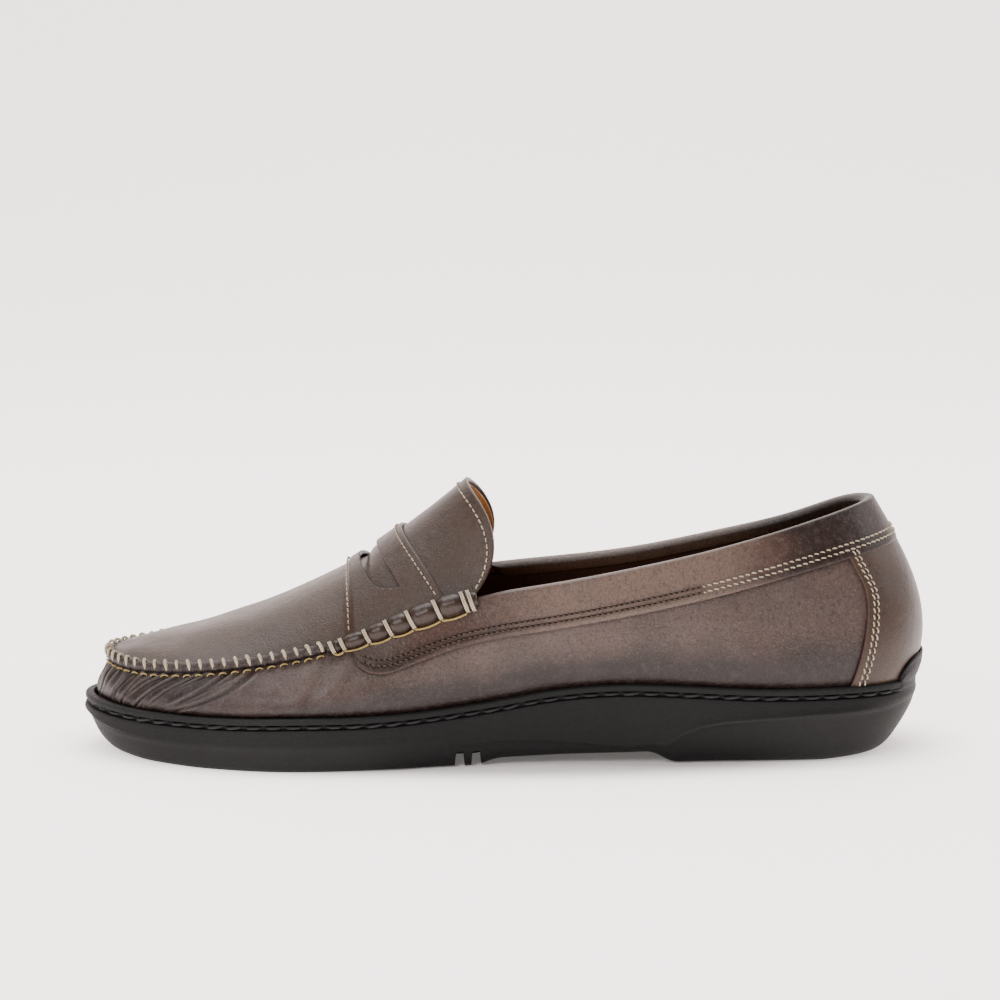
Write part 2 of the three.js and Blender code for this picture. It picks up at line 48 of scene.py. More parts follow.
AXES = np.array([-0.3, -2.97, 0.0])  # the shoe's own axes, as they stand in the frame
RANDOM = np.random.default_rng(7)

# ---- sizes ------------------------------------------------------------------------------------------------
UPPER = 1.6  # leather thicknesses
PLUG = 1.5
STRAP = 1.5
BAND = 1.5
PANEL = 1.2
LINING = 1.0
CUP_DEPTH = 10
BAND_WIDTH = 15
PLUG_GAP = 0.15  # between the last's surface and the plug, and between the upper and what is sewn on it
SEWN_GAP = 0.12
STRAP_LOW = PLUG_GAP + PLUG
STRAP_HIGH = STRAP_LOW + STRAP
BEAD_START, BEAD_END = 8.2, 15.8  # stations of the moccasin seam
SLOT_REACH = 0.79  # how far the penny slot runs across, as a share of the plug's half width
WHIP_PITCH = 4.3
SLOT_CENTRES, SLOT_HALF = (-16, -10.2), 1.45  # the two slots across the sole behind the ball
GROOVE_DROP = 3.0  # middle of the stitch groove under the lip
TAB_HEIGHT = 9.6  # rubber tab on the back of the heel
PANEL_RUN = 42  # about the length of half the heel panel along the wall
RECESS_SHADE_COLOUR, RAW_COLOUR = 0x120C0B, 0x3E2A24  # painted shade at the bottom of a fold, and the cut edge of leather
ROLL_FRONT, ROLL_BACK = 8.12, 5.92  # stations of the medial beefroll's ends

# Plan of the line where the upper meets the sole, and the upper's top edge, a point to each station.
FEATHER_POINTS = [
    (144.5, 0), (136, -22), (115, -32), (84, -33), (52, -31.2), (18, -30.6), (-13, -33.5), (-38, -40),
    (-62, -44.5), (-87, -43.8), (-113, -36), (-134.5, -23.5), (-146.5, -1), (-133.5, 19.5), (-113, 33.8),
    (-87, 44.4), (-62, 50.3), (-38, 50.6), (-13, 47.6), (18, 42.3), (52, 37.8), (84, 35.2), (115, 32),
    (136, 22),
]
TOP_EDGE_POINTS = [
    (130, 0, 90.4), (122, -14, 88.8), (103, -22, 83.6), (76, -26.5, 76.4), (46, -29.5, 69.8),
    (15, -32, 64.3), (-13, -33, 59.4), (-36, -34, 51.4), (-58, -34.3, 43), (-84, -34, 36.9),
    (-110, -30.5, 33.6), (-131, -20, 32.6), (-141, -1, 33.2), (-131, 18, 32.6), (-110, 30.5, 33.6),
    (-84, 36, 37), (-58, 38, 43.2), (-36, 38.5, 51), (-13, 37.5, 57.2), (15, 36, 61), (46, 33.5, 65.2),
    (76, 30.5, 71.8), (103, 24.5, 79.4), (122, 15, 87.6),
]
# How far the side wall swells out at each station, and how far the sole tucks in under it.
BULGES = [
    9, 7.5, 5, 4, 2.6, 2, 2.4, 3.4, 4.6, 4.4, 3.2, 1.8, 1.2, 1.8, 3.4, 5, 6, 5.4, 4.6, 4.2, 4, 4.4, 5.4,
    7.5,
]
TUCKS = [
    12, 9.5, 8, 7.5, 3, 0.6, 0.8, 1.5, 1.8, 1.5, 1.5, 2.5, 4, 2.5, 1.5, 1.5, 1.8, 1.5, 0.8, 0.6, 3, 7.5,
    8, 9.5,
]
# Station on the seam, then x and z of the ridge, from the toe to the tip of the tongue.
RIDGE_POINTS = [
    (12, -141, 33.2), (11, -131, 37.4), (10, -110, 42.2), (9, -84, 50.8), (8, -58, 62.8),
    (7.1, -47, 69.5), (6.3, -36, 77.4), (6.08, -24, 86.6), (5.94, -13, 95.7),
]
# Heights of the side wall's lip and of the underside by x.
LIP_ROWS = [
    (-151, 20.8), (-141, 19.5), (-127, 19.3), (-109, 19), (-87, 19.6), (-73, 20.2), (-55, 20),
    (-37, 20.2), (-20, 21.4), (-2, 23.6), (16, 27), (34, 28.8), (48, 29.1), (70, 28.4), (91, 27.6),
    (123, 28.2), (151, 27.6),
]
UNDERSIDE_ROWS = [
    (-151, 9), (-146, 4.8), (-139, 2), (-127, 0.7), (-109, 0), (-9, 0), (-3.5, 2.3), (20, 3.4), (52, 4.2),
    (59, 0), (112, 0), (134, 1.6), (151, 4),
]


# ---- curves and surfaces ----------------------------------------------------------------------------------
class Spline:
    """Smooth curve through points that lie one unit of its parameter apart."""

    def __init__(self, points, closed=False):
        self.points = np.array(points, float).reshape(len(points), -1)
        self.closed = closed
        count = len(points)
        before, after = np.roll(self.points, 1, 0), np.roll(self.points, -1, 0)
        right = 6 * (before - 2 * self.points + after)
        left = 4 * np.eye(count) + np.roll(np.eye(count), 1, 0) + np.roll(np.eye(count), -1, 0)
        if not closed:
            left[[0, -1]] = np.eye(count)[[0, -1]]
            right[[0, -1]] = 0
        self.bends = np.linalg.solve(left, right)

    def __call__(self, place):
        place = np.asarray(place, float)
        count = len(self.points)
        low = np.floor(place) if self.closed else np.clip(np.floor(place), 0, count - 2)
        share = (place - low)[..., None]
        here = low.astype(int) % count
        after = (here + 1) % count
        rest = 1 - share
        straight = rest * self.points[here] + share * self.points[after]
        bend = (rest**3 - rest) * self.bends[here] + (share**3 - share) * self.bends[after]
        return straight + bend / 6


FEATHER = Spline(FEATHER_POINTS, True)
TOP_EDGE = Spline(TOP_EDGE_POINTS, True)
BULGE = Spline(BULGES, True)
TUCK = Spline(TUCKS, True)
RIDGE = Spline(RIDGE_POINTS)


def smooth_rows(rows, x, blur):
    """The rows' value at x, with its corners rounded over that distance."""
    xs, ys = np.array(rows, float).T
    return sum(np.interp(x + shift, xs, ys) for shift in np.linspace(-blur, blur, 9)) / 9


def unit(vectors):
    return vectors / np.linalg.norm(vectors, axis=-1, keepdims=True)


def ease(value, start, end):
    """0 before start and 1 after end, turning smoothly between them."""
    share = np.clip((np.asarray(value, float) - start) / (end - start), 0, 1)
    return share * share * (3 - 2 * share)


def hill(value, centre, breadth):
    """1 at the centre, falling to nothing in a bell on both sides."""
    return np.exp(-(((value - centre) / breadth) ** 2))


def from_heel(u):
    """Signed distance in stations from the centre of the heel."""
    return (np.asarray(u, float) + 12) % 24 - 12


def lip_height(x):
    return smooth_rows(LIP_ROWS, x, 9)


def outward(u):
    along = FEATHER(u + 0.02) - FEATHER(u - 0.02)
    return unit(np.stack([-along[..., 1], along[..., 0], 0 * along[..., 0]], -1))


def rim(u, out, up):
    """Ring parallel to the feather line, out from it in plan and up from the lip."""
    u, out, up = np.broadcast_arrays(u, out, up)
    plan = FEATHER(u) + outward(u)[..., :2] * out[..., None]
    return np.concatenate([plan, (lip_height(plan[..., 0]) + up)[..., None]], -1)


def wall_base(u, v):
    u, v = np.broadcast_arrays(u, v)
    rise = np.clip(v, 0, 1)
    foot, top = rim(u, 0, 0), TOP_EDGE(u)
    point = foot + (top - foot) * np.maximum(v, 0)[..., None]
    bulge = BULGE(u) * np.sin(np.pi * rise**0.8)[..., None]
    below = np.minimum(v, 0) * np.linalg.norm(top - foot, axis=-1)
    return point + outward(u) * bulge + np.stack([0 * below, 0 * below, below], -1)


def normal(surface, a, b, step=0.015):
    """Direction square to a surface that a and b run over."""
    one, other = surface(a + step, b) - surface(a - step, b), surface(a, b + step) - surface(a, b - step)
    return unit(np.cross(one, other))


def wall(u, v, out):
    """Side wall of the upper: v 0 at the lip, 1 at the top edge, out along its own normal."""
    u, v, out = np.broadcast_arrays(np.asarray(u, float), np.asarray(v, float), np.asarray(out, float))
    return wall_base(u, v) - normal(wall_base, u, np.clip(v, 0.06, 0.94)) * out[..., None]


def wall_height(u):
    return np.linalg.norm(TOP_EDGE(u) - rim(u, 0, 0), axis=-1)


def plug_base(s, w):
    s, w = np.broadcast_arrays(s, w)
    ridge = RIDGE(np.clip(s, 0, 1) * (len(RIDGE_POINTS) - 1))
    seam = TOP_EDGE(np.where(w < 0, ridge[..., 0], 24 - ridge[..., 0]))
    rise = 1 - np.abs(w) ** 2.3
    bow = 8.5 * ease(s, 0.7, 1) * 4 * rise * (1 - rise)
    x = seam[..., 0] + (ridge[..., 1] - seam[..., 0]) * rise + bow
    z = seam[..., 2] + (ridge[..., 2] - seam[..., 2]) * rise
    return np.stack([x, seam[..., 1] * np.abs(w), z], -1)


def plug(s, w, out):
    """Plug and tongue: s 0 at the toe, 1 at the tongue's tip; w -1 at the medial seam, 1 at the lateral."""
    s, w, out = np.broadcast_arrays(np.asarray(s, float), np.asarray(w, float), np.asarray(out, float))
    facing = normal(plug_base, np.clip(s, 0.03, 0.97), np.clip(w, -0.97, 0.97))
    return plug_base(s, w) + facing * out[..., None]


def seam_frame(u):
    """Point on the seam, and the directions out from it, across it and along it."""
    u = np.asarray(u, float)
    stations = np.linspace(0, 1, 400)
    medial = np.where(u < 12, u, 24 - u)
    s = np.interp(-medial, -RIDGE(stations * 8)[:, 0], stations)
    w = np.where(u < 12, -0.97, 0.97)
    out = unit(normal(plug_base, np.clip(s, 0.04, 0.97), w) - normal(wall_base, u, 0.94))
    along = unit(TOP_EDGE(u + 0.02) - TOP_EDGE(u - 0.02))
    return TOP_EDGE(u), out, np.cross(out, along), along


# ---- meshes -----------------------------------------------------------------------------------------------
def placed(name, data):
    """An object in the scene that shows a mesh, a light or a camera."""
    piece = bpy.data.objects.new(name, data)
    bpy.context.scene.collection.objects.link(piece)
    return piece


def made(name, points, faces, marks=None):
    """A mesh object from points in millimetres, with its marks as named values on the points."""
    mesh = bpy.data.meshes.new(name)
    mesh.from_pydata(((points + AXES) * MM).tolist(), [], faces)
    for mark, values in (marks or {}).items():
        mesh.attributes.new(mark, "FLOAT", "POINT").data.foreach_set("value", np.ravel(values))
    mesh.polygons.foreach_set("use_smooth", [True] * len(mesh.polygons))
    return placed(name, mesh)


def skin_faces(rows, count, closed):
    """Quads that join loops of points, and strips that cap the first and last loop."""
    faces = []
    for j in range(rows if closed else rows - 1):
        here, after = j * count, (j + 1) % rows * count
        for k in range(count):
            beside = (k + 1) % count
            faces.append((here + k, here + beside, after + beside, after + k))
    if not closed:
        end = (rows - 1) * count
        for k in range(count // 2 - 1):
            faces.append((k, count - 1 - k, count - 2 - k, k + 1))
            faces.append((end + k, end + k + 1, end + count - 2 - k, end + count - 1 - k))
    return faces


def outwards(piece):
    """Turns every face outwards, after its doubled points are merged."""
    shape = bmesh.new()
    shape.from_mesh(piece.data)
    bmesh.ops.remove_doubles(shape, verts=shape.verts, dist=1e-6)
    bmesh.ops.recalc_face_normals(shape, faces=shape.faces)
    shape.to_mesh(piece.data)
    shape.free()
    return piece


def skin(name, loops, closed=False, marks=None):
    rows, count = loops.shape[:2]
    return outwards(made(name, loops.reshape(-1, 3), skin_faces(rows, count, closed), marks))


def joined(name, pieces):
    """One object from several, in the first one's place."""
    shape = bmesh.new()
    for piece in pieces:
        shape.from_mesh(piece.data)
    whole = pieces[0]
    shape.to_mesh(whole.data)
    shape.free()
    whole.name = whole.data.name = name
    for piece in pieces[1:]:
        bpy.data.objects.remove(piece)
    return whole


def leather(name, place, us, vs, low, high, closed=False, marks=None):
    """A sheet of leather between two offsets of a surface, with rounded cut edges.

    place(u, v, out) gives its points. marks are functions of u, v and out.
    """
    us, vs = np.asarray(us, float), np.asarray(vs, float)
    middle, half = (low + high) / 2, (high - low) / 2
    turns = np.radians([70, 35, 0, -35, -70])
    round_end = np.radians([80, 50, 20])
    squeeze = np.ones(len(us))
    if not closed:
        size = np.linalg.norm(np.diff(place(us, vs.mean(), middle), axis=0), axis=-1) / np.abs(np.diff(us))
        ends = np.cos(round_end)[::-1] * half
        sign = math.copysign(1, us[-1] - us[0])
        us = np.concatenate([us[0] - sign * ends / size[0], us, us[-1] + sign * ends[::-1] / size[-1]])
        squeeze = np.concatenate([np.sin(round_end)[::-1], squeeze, np.sin(round_end)])
    reach = []
    for edge, inside in ((vs[-1], vs[-2]), (vs[0], vs[1])):
        gap = np.linalg.norm(place(us, edge, middle) - place(us, inside, middle), axis=-1)
        reach.append(half * (edge - inside) / gap)
    ones = np.ones(len(us))[:, None]
    top = vs[-1] + reach[0][:, None] * np.cos(turns)
    foot = vs[0] + reach[1][:, None] * np.cos(turns)
    v = np.concatenate([ones * vs, top, ones * vs[::-1], foot[:, ::-1]], 1)
    side = np.concatenate([np.ones(len(vs)), np.sin(turns), -np.ones(len(vs)), np.sin(turns)[::-1]])
    out = middle + half * side[None] * squeeze[:, None]
    u = us[:, None] * np.ones(v.shape[1])
    values = {mark: function(u, v, out) for mark, function in (marks or {}).items()}
    return skin(name, place(u, v, out), closed, values)


# ---- threads, laid by Geometry Nodes ----------------------------------------------------------------------
def operator(operation, turned=False):
    """A method of Value that puts one maths node after it."""
    def apply(self, other):
        return self.graph.math(operation, *((other, self) if turned else (self, other)))

    return apply


class Value:
    """A socket of a node tree that can be calculated with."""

    def __init__(self, graph, socket):
        self.graph = graph
        self.socket = socket

    __add__, __radd__ = operator("ADD"), operator("ADD", True)
    __sub__, __rsub__ = operator("SUBTRACT"), operator("SUBTRACT", True)
    __mul__, __rmul__ = operator("MULTIPLY"), operator("MULTIPLY", True)


class Graph:
    """A node tree that is built up one node at a time."""

    def __init__(self, tree):
        self.tree = tree

    def node(self, kind, settings=(), values=(), output=0):
        """Adds a node and gives back one of its outputs. values go by the input's name or place."""
        made_node = self.tree.nodes.new(kind)
        for setting, value in dict(settings).items():
            setattr(made_node, setting, value)
        for place, value in dict(values).items():
            self.feed(made_node.inputs[place], value)
        return Value(self, made_node.outputs[output])

    def feed(self, socket, value):
        if isinstance(value, Value):
            self.tree.links.new(value.socket, socket)
        else:
            socket.default_value = value

    def math(self, operation, *values):
        return self.node("ShaderNodeMath", {"operation": operation}, dict(enumerate(values)))

    def vector(self, x=0.0, y=0.0, z=0.0):
        return self.node("ShaderNodeCombineXYZ", (), {0: x, 1: y, 2: z})


class Layer(Graph):
    """A Geometry Nodes tree with named inputs, which lays pieces along a path."""

    def __init__(self, name, **inputs):
        super().__init__(bpy.data.node_groups.new(name, "GeometryNodeTree"))
        face = self.tree.interface
        face.new_socket("Geometry", in_out="INPUT", socket_type="NodeSocketGeometry")
        for label, kind in inputs.items():
            face.new_socket(label, in_out="INPUT", socket_type=f"NodeSocket{kind}")
        face.new_socket("Geometry", in_out="OUTPUT", socket_type="NodeSocketGeometry")
        given = self.tree.nodes.new("NodeGroupInput").outputs
        self.path = self.node("GeometryNodeMeshToCurve", (), {0: Value(self, given[0])})
        self.given = [Value(self, socket) for socket in given[1:1 + len(inputs)]]

    def spots(self, pitch):
        values = {"Curve": self.path, "Length": pitch}
        return self.node("GeometryNodeResampleCurve", {"mode": "LENGTH"}, values)

    def cord(self, path, thickness, sides):
        """Round thread about a path, with closed ends."""
        ring = self.node("GeometryNodeCurvePrimitiveCircle", (), {
            "Resolution": sides, "Radius": thickness * 0.5})
        return self.node("GeometryNodeCurveToMesh", (), {
            "Curve": path, "Profile Curve": ring, "Fill Caps": True})

    def varied(self, low, high, seed):
        values = {2: low, 3: high, "Seed": seed}
        return self.node("FunctionNodeRandomValue", {"data_type": "FLOAT"}, values, 1)

    def laid(self, spots, piece, rotation, scale):
        return self.node("GeometryNodeInstanceOnPoints", (), {
            "Points": spots, "Instance": piece, "Rotation": rotation, "Scale": scale})

    def finish(self, geometry, material):
        real = self.node("GeometryNodeRealizeInstances", (), {0: geometry})
        dressed = self.node("GeometryNodeSetMaterial", (), {"Geometry": real, "Material": material})
        smooth = self.node("GeometryNodeSetShadeSmooth", (), {0: dressed})
        self.feed(self.tree.nodes.new("NodeGroupOutput").inputs[0], smooth)
        return self.tree


def facing_rotation(layer):
    """Rotation with X along the path and Z along the path's own facing."""
    along = layer.node("GeometryNodeInputTangent")
    named = {"data_type": "FLOAT_VECTOR"}
    facing = layer.node("GeometryNodeInputNamedAttribute", named, {"Name": "facing"})
    first = layer.node("FunctionNodeAlignRotationToVector", {"axis": "X"}, {"Vector": along})
    return layer.node("FunctionNodeAlignRotationToVector", {"axis": "Z", "pivot_axis": "X"},
                      {"Rotation": first, "Vector": facing})


def stitch_row_layer():
    """Short threads that come up out of a path, arch over it and go down again, one every pitch."""
    layer = Layer("stitch_row", Pitch="Float", Span="Float", Rise="Float", Sink="Float", Thickness="Float",
                  Turn="Float", Lean="Float", Seed="Int", Thread="Material")
    pitch, span, rise, sink, thickness, turn, lean, seed, thread = layer.given
    half, foot, top = span * 0.5, sink * -1.0, layer.math("MULTIPLY_ADD", rise, 2.0, sink)
    ends = [layer.vector(half * side, 0.0, foot) for side in (-1.0, 1.0)]
    arms = [layer.vector(half * (side * 0.8), 0.0, top) for side in (-1.0, 1.0)]
    arch = layer.node("GeometryNodeCurvePrimitiveBezierSegment", {"mode": "POSITION"}, {
        "Resolution": 7, "Start": ends[0], "Start Handle": arms[0], "End Handle": arms[1], "End": ends[1]})
    angle = turn + (lean + layer.varied(-0.09, 0.09, seed))
    local = layer.node("FunctionNodeEulerToRotation", (), {0: layer.vector(0.0, 0.0, angle)})
    way = layer.node("FunctionNodeRotateRotation", {"rotation_space": "LOCAL"},
                     {"Rotation": facing_rotation(layer), "Rotate By": local})
    cord, size = layer.cord(arch, thickness, 6), layer.varied(0.92, 1.07, seed)
    return layer.finish(layer.laid(layer.spots(pitch), cord, way, size), thread)


def cord_along_layer():
    """One thread that follows a path."""
    layer = Layer("cord_along", Thickness="Float", Thread="Material")
    return layer.finish(layer.cord(layer.path, layer.given[0], 8), layer.given[1])


def bars_along_layer():
    """Rubber bars across a path, one every pitch, as wide as the path says."""
    layer = Layer("bars_along", Pitch="Float", Length="Float", Depth="Float", Rubber="Material")
    pitch, length, depth, rubber = layer.given
    wide = layer.node("GeometryNodeInputNamedAttribute", {"data_type": "FLOAT"}, {"Name": "width"})
    block = layer.node("GeometryNodeMeshCube", (), {"Size": (1.0, 1.0, 1.0)})
    scale = layer.vector(length, wide, depth)
    return layer.finish(layer.laid(layer.spots(pitch), block, facing_rotation(layer), scale), rubber)


def baked(name, tree, routes, facings, values, marks=None):
    """The plain mesh that a tree makes along routes of points in millimetres."""
    ends = np.cumsum([len(route) for route in routes])
    edges = [(i, i + 1) for i in range(ends[-1] - 1) if i + 1 not in ends]
    mesh = bpy.data.meshes.new(name)
    mesh.from_pydata(((np.concatenate(routes) + AXES) * MM).tolist(), edges, [])
    facing = mesh.attributes.new("facing", "FLOAT_VECTOR", "POINT")
    facing.data.foreach_set("vector", np.concatenate(facings).ravel())
    for mark, amounts in (marks or {}).items():
        mesh.attributes.new(mark, "FLOAT", "POINT").data.foreach_set("value", amounts)
    carrier = placed(name + "_path", mesh)
    modifier = carrier.modifiers.new("laid", "NODES")
    modifier.node_group = tree
    for item in tree.interface.items_tree:
        if item.in_out == "INPUT" and item.name in values:
            modifier[item.identifier] = values[item.name]
    graph = bpy.context.evaluated_depsgraph_get()
    plain = bpy.data.meshes.new_from_object(carrier.evaluated_get(graph))
    bpy.data.objects.remove(carrier)
    plain.name = name
    return placed(name, plain)


STITCH_ROW = stitch_row_layer()
CORD_ALONG = cord_along_layer()
BARS_ALONG = bars_along_layer()


def stitches(name, routes, thread, pitch, span, thickness, rise=0.35, sink=0.3, turn=0.0, lean=0.0, seed=1):
    """Rows of stitches. Each route is its points and the way they face; lengths are millimetres."""
    values = {"Pitch": pitch * MM, "Span": span * MM, "Rise": rise * MM, "Sink": sink * MM,
              "Thickness": thickness * MM, "Turn": turn, "Lean": lean, "Seed": seed, "Thread": thread}
    return baked(name, STITCH_ROW, [r[0] for r in routes], [r[1] for r in routes], values)


def cords(name, routes, thread, thickness):
    facings = [np.tile((0.0, 0.0, 1.0), (len(route), 1)) for route in routes]
    return baked(name, CORD_ALONG, routes, facings, {"Thickness": thickness * MM, "Thread": thread})


# ---- looks ------------------------------------------------------------------------------------------------
class Look(Graph):
    """One material with a Principled surface."""

    def __init__(self, name):
        self.material = bpy.data.materials.new(name)
        self.material.use_nodes = True
        super().__init__(self.material.node_tree)
        self.surface = self.tree.nodes["Principled BSDF"]
        self.place = self.node("ShaderNodeTexCoord", output="Object")

    def mark(self, name):
        return self.node("ShaderNodeAttribute", {"attribute_name": name}, output="Fac")

    def between(self, value, low, high):
        """0 below low and 1 above high, smoothly."""
        return self.node("ShaderNodeMapRange", {"interpolation_type": "SMOOTHSTEP"},
                         {"Value": value, "From Min": low, "From Max": high})

    def mix(self, share, one, other):
        return self.node("ShaderNodeMix", {"data_type": "RGBA"},
                         {"Factor": share, 6: colour(one), 7: colour(other)}, 2)

    def noise(self, size, detail=3.0, rough=0.55, stretch=(1.0, 1.0, 1.0)):
        """Noise whose patches are about that many millimetres across."""
        spot = self.node("ShaderNodeVectorMath", {"operation": "MULTIPLY"}, {0: self.place, 1: stretch})
        return self.node("ShaderNodeTexNoise", (), {
            "Vector": spot, "Scale": 1000.0 / size, "Detail": detail, "Roughness": rough})

    def cells(self, size):
        return self.node("ShaderNodeTexVoronoi", (), {"Vector": self.place, "Scale": 1000.0 / size})

    def bumped(self, *layers):
        """Gives the surface bumps: pairs of a height and its depth in millimetres."""
        normal_in = None
        for height, depth in layers:
            values = {"Height": height, "Distance": depth * MM, "Strength": 1.0}
            if normal_in:
                values["Normal"] = normal_in
            normal_in = self.node("ShaderNodeBump", (), values)
        self.feed(self.surface.inputs["Normal"], normal_in)

    def set(self, **values):
        for name, value in values.items():
            self.feed(self.surface.inputs[name.replace("_", " ")], value)


def colour(value):
    """Colours are written as sRGB bytes in one hexadecimal number."""
    if isinstance(value, Value):
        return value
    parts = [(value >> shift & 255) / 255 for shift in (16, 8, 0)]
    return tuple(c / 12.92 if c < 0.04045 else ((c + 0.055) / 1.055) ** 2.4 for c in parts) + (1.0,)


def leather_look(name, base, deep, worn_and_sheen, plum, rough=0.43, grain=0.07, size=1.1):
    """Satin leather: pebbled grain and cloudy colour, with painted shade in folds and low down, and a painted
    grey sheen where it is marked.
    """
    look = Look(name)
    clouds = look.between(look.noise(28, 3, 0.6), 0.35, 0.68)
    mottle = look.noise(2.6, 3, 0.7)
    cell = look.cells(size)
    crazing = look.noise(0.55, 2, 0.6)
    # Painted shade: the low mark darkens the leather towards deep, over random clouds.
    tone = look.mix(clouds * 0.55 + look.mark("low"), base, deep)
    tone = look.mix(look.between(look.noise(17, 3, 0.65), 0.5, 0.72) * 0.4, tone, plum)
    tone = look.mix(look.between(mottle, 0.45, 0.75) * 0.14, tone, worn_and_sheen)
    # Painted sheen: marked ridges, tops and edges turn towards the paler grey colour.
    tone = look.mix(look.mark("worn_and_sheen"), tone, worn_and_sheen)
    tone = look.mix(look.between(cell, 0.5, 0.85) * 0.3, tone, deep)
    # Painted shade: folds, grooves and recesses darken towards the crease colour.
    tone = look.mix(look.mark("recess_shade"), tone, RECESS_SHADE_COLOUR)
    tone = look.mix(look.mark("raw"), tone, RAW_COLOUR)
    speck = look.between(look.noise(0.55, 2, 0.6), 0.52, 0.72)
    # Random pale specks, fewer in the painted shade low down.
    tone = look.mix(speck * (0.34 - look.mark("low") * 0.22), tone, worn_and_sheen)
    tone = look.mix(look.between(look.noise(0.7, 2, 0.6, (1.3, 0.9, 1.1)), 0.52, 0.7) * 0.4, tone, deep)
    look.set(Base_Color=tone, Roughness=rough + (mottle - 0.5) * 0.22 + look.mark("recess_shade") * 0.2,
             Specular_IOR_Level=0.33)
    look.bumped((look.noise(9, 2, 0.5), 0.35), (1.0 - cell, grain), (crazing, grain * 1.5))
    return look.material


def lining_look(name, base, deep):
    """Unfinished lining leather with pores."""
    look = Look(name)
    tone = look.mix(look.between(look.noise(14, 4, 0.6), 0.35, 0.7) * 0.7, base, deep)
    tone = look.mix(look.between(look.cells(1.3), 0.12, 0.3), deep, tone)
    look.set(Base_Color=tone, Roughness=0.62, Specular_IOR_Level=0.3)
    look.bumped((look.cells(1.3), 0.08), (look.noise(0.6, 3), 0.05))
    return look.material


def rubber_look(name, base, worn_and_sheen):
    look = Look(name)
    stipple = look.cells(0.5)
    scuffs = look.noise(30, 4, 0.65)
    tone = look.mix(look.between(scuffs, 0.45, 0.75) * 0.12, base, worn_and_sheen)
    tone = look.mix(look.between(look.noise(0.6, 2, 0.6), 0.52, 0.74) * 0.3, tone, worn_and_sheen)
    # Painted highlight on the lip's top and along the heel's ridge line.
    tone = look.mix(look.mark("worn_and_sheen") * 0.7, tone, worn_and_sheen)
    # Painted shade in the stitch groove and the slots.
    tone = look.mix(look.mark("recess_shade"), tone, 0x0B0B0C)
    look.set(Base_Color=tone, Roughness=0.62 + (scuffs - 0.5) * 0.25, Specular_IOR_Level=0.22)
    look.bumped((stipple, 0.09), (look.noise(0.9, 3, 0.6), 0.09),
                (look.noise(3, 2, 0.5, (0.1, 0.1, 1.0)), 0.06))
    return look.material


def thread_look(name, base, deep, rough=0.7):
    """Waxed thread: its fibres show as fine streaks."""
    look = Look(name)
    fibre = look.noise(0.28, 3, 0.7, (1.0, 2.2, 1.3))
    tone = look.mix(look.between(fibre, 0.35, 0.7) * 0.6, base, deep)
    tone = look.mix(look.between(look.noise(5, 2), 0.4, 0.75) * 0.4, tone, deep)
    look.set(Base_Color=tone, Roughness=rough, Specular_IOR_Level=0.3)
    look.bumped((fibre, 0.12))
    return look.material


def filler_look(name, base, deep, size, depth):
    look = Look(name)
    cell = look.cells(size)
    tone = look.mix(look.between(cell, 0.2, 0.7), base, deep)
    look.set(Base_Color=tone, Roughness=0.9, Specular_IOR_Level=0.2)
    look.bumped((cell, depth))
    return look.material


def steel_look(name):
    look = Look(name)
    streak = look.noise(1.2, 3, 0.6, (0.05, 1.0, 1.0))
    look.set(Base_Color=look.mix(streak, 0x8B8D90, 0xB4B6B9), Roughness=0.3 + streak * 0.2)
    look.surface.inputs["Metallic"].default_value = 1.0
    look.bumped((streak, 0.03))
    return look.material


LEATHER = leather_look("leather_upper", 0x3F2D27, 0x1A0F0C, 0x6C5F59, 0x33272A, 0.42)
PLUG_LEATHER = leather_look("leather_plug", 0x35241A, 0x23160E, 0x584636, 0x2C201C, 0.41, 0.06, 0.8)
ROLL_LEATHER = leather_look("leather_roll", 0x1F130D, 0x120A07, 0x4A3629, 0x1C110E, 0.34, 0.03)
BAND_LEATHER = leather_look("leather_band", 0x40291F, 0x1C0F0B, 0x76655B, 0x3A2622, 0.42)
RUBBER = rubber_look("rubber_sole", 0x060606, 0x1F1F1E)
TAN = lining_look("lining_tan", 0xA87440, 0x7E5026)
DARK_LINING = lining_look("lining_dark", 0x2A1611, 0x1A0D0A)
CREAM = thread_look("thread_cream", 0xB5A791, 0x7E6F5A)
YELLOW = thread_look("thread_waxed", 0xA08A55, 0x6F5A2C)
BLACK = thread_look("thread_dark", 0x1C1C1D, 0x0C0C0D, 0.6)
# A dark cord as painted shade where the needle holes are.
HOLE_SHADE = thread_look("needle_holes", 0x080504, 0x050303, 0.9)
TONAL = thread_look("thread_tonal", 0x4E3B30, 0x2A1D17)
FOAM = filler_look("eva_foam", 0xCFC9BB, 0xB5AE9D, 1.0, 0.2)
CORK = filler_look("cork_filler", 0x8A6238, 0x4E3218, 2.2, 0.3)
BOARD = filler_look("fibre_board", 0x8A6F50, 0x6B5238, 0.7, 0.1)
STEEL = steel_look("shank_steel")


def looked(piece, material):
    piece.data.materials.clear()
    piece.data.materials.append(material)
    return piece


def standing(piece):
    """The finished piece stands for the frame's node of its name and rides on the shoe."""
    node = piece.name.split(".")[0]
    piece.name = piece.data.name = node + "_finished"
    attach(piece, "root")
    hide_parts(node)
    return piece


# ---- camera -----------------------------------------------------------------------------------------------
AIM = np.array([-1.8, 0.0, 89.1])
DISTANCE, ELEVATION = 1250.0, math.radians(10)
lens = bpy.data.cameras.new("camera")
lens.lens, lens.sensor_width = 126.0, 36.0
lens.dof.use_dof = False
lens.clip_start, lens.clip_end = 0.05, 30.0
camera = placed("camera", lens)
back = np.array([0.0, -math.cos(ELEVATION), math.sin(ELEVATION)]) * DISTANCE
camera.location = ((AIM + AXES + back) * MM).tolist()
camera.rotation_euler = (math.pi / 2 - ELEVATION, 0.0, 0.0)
bpy.context.scene.camera = camera


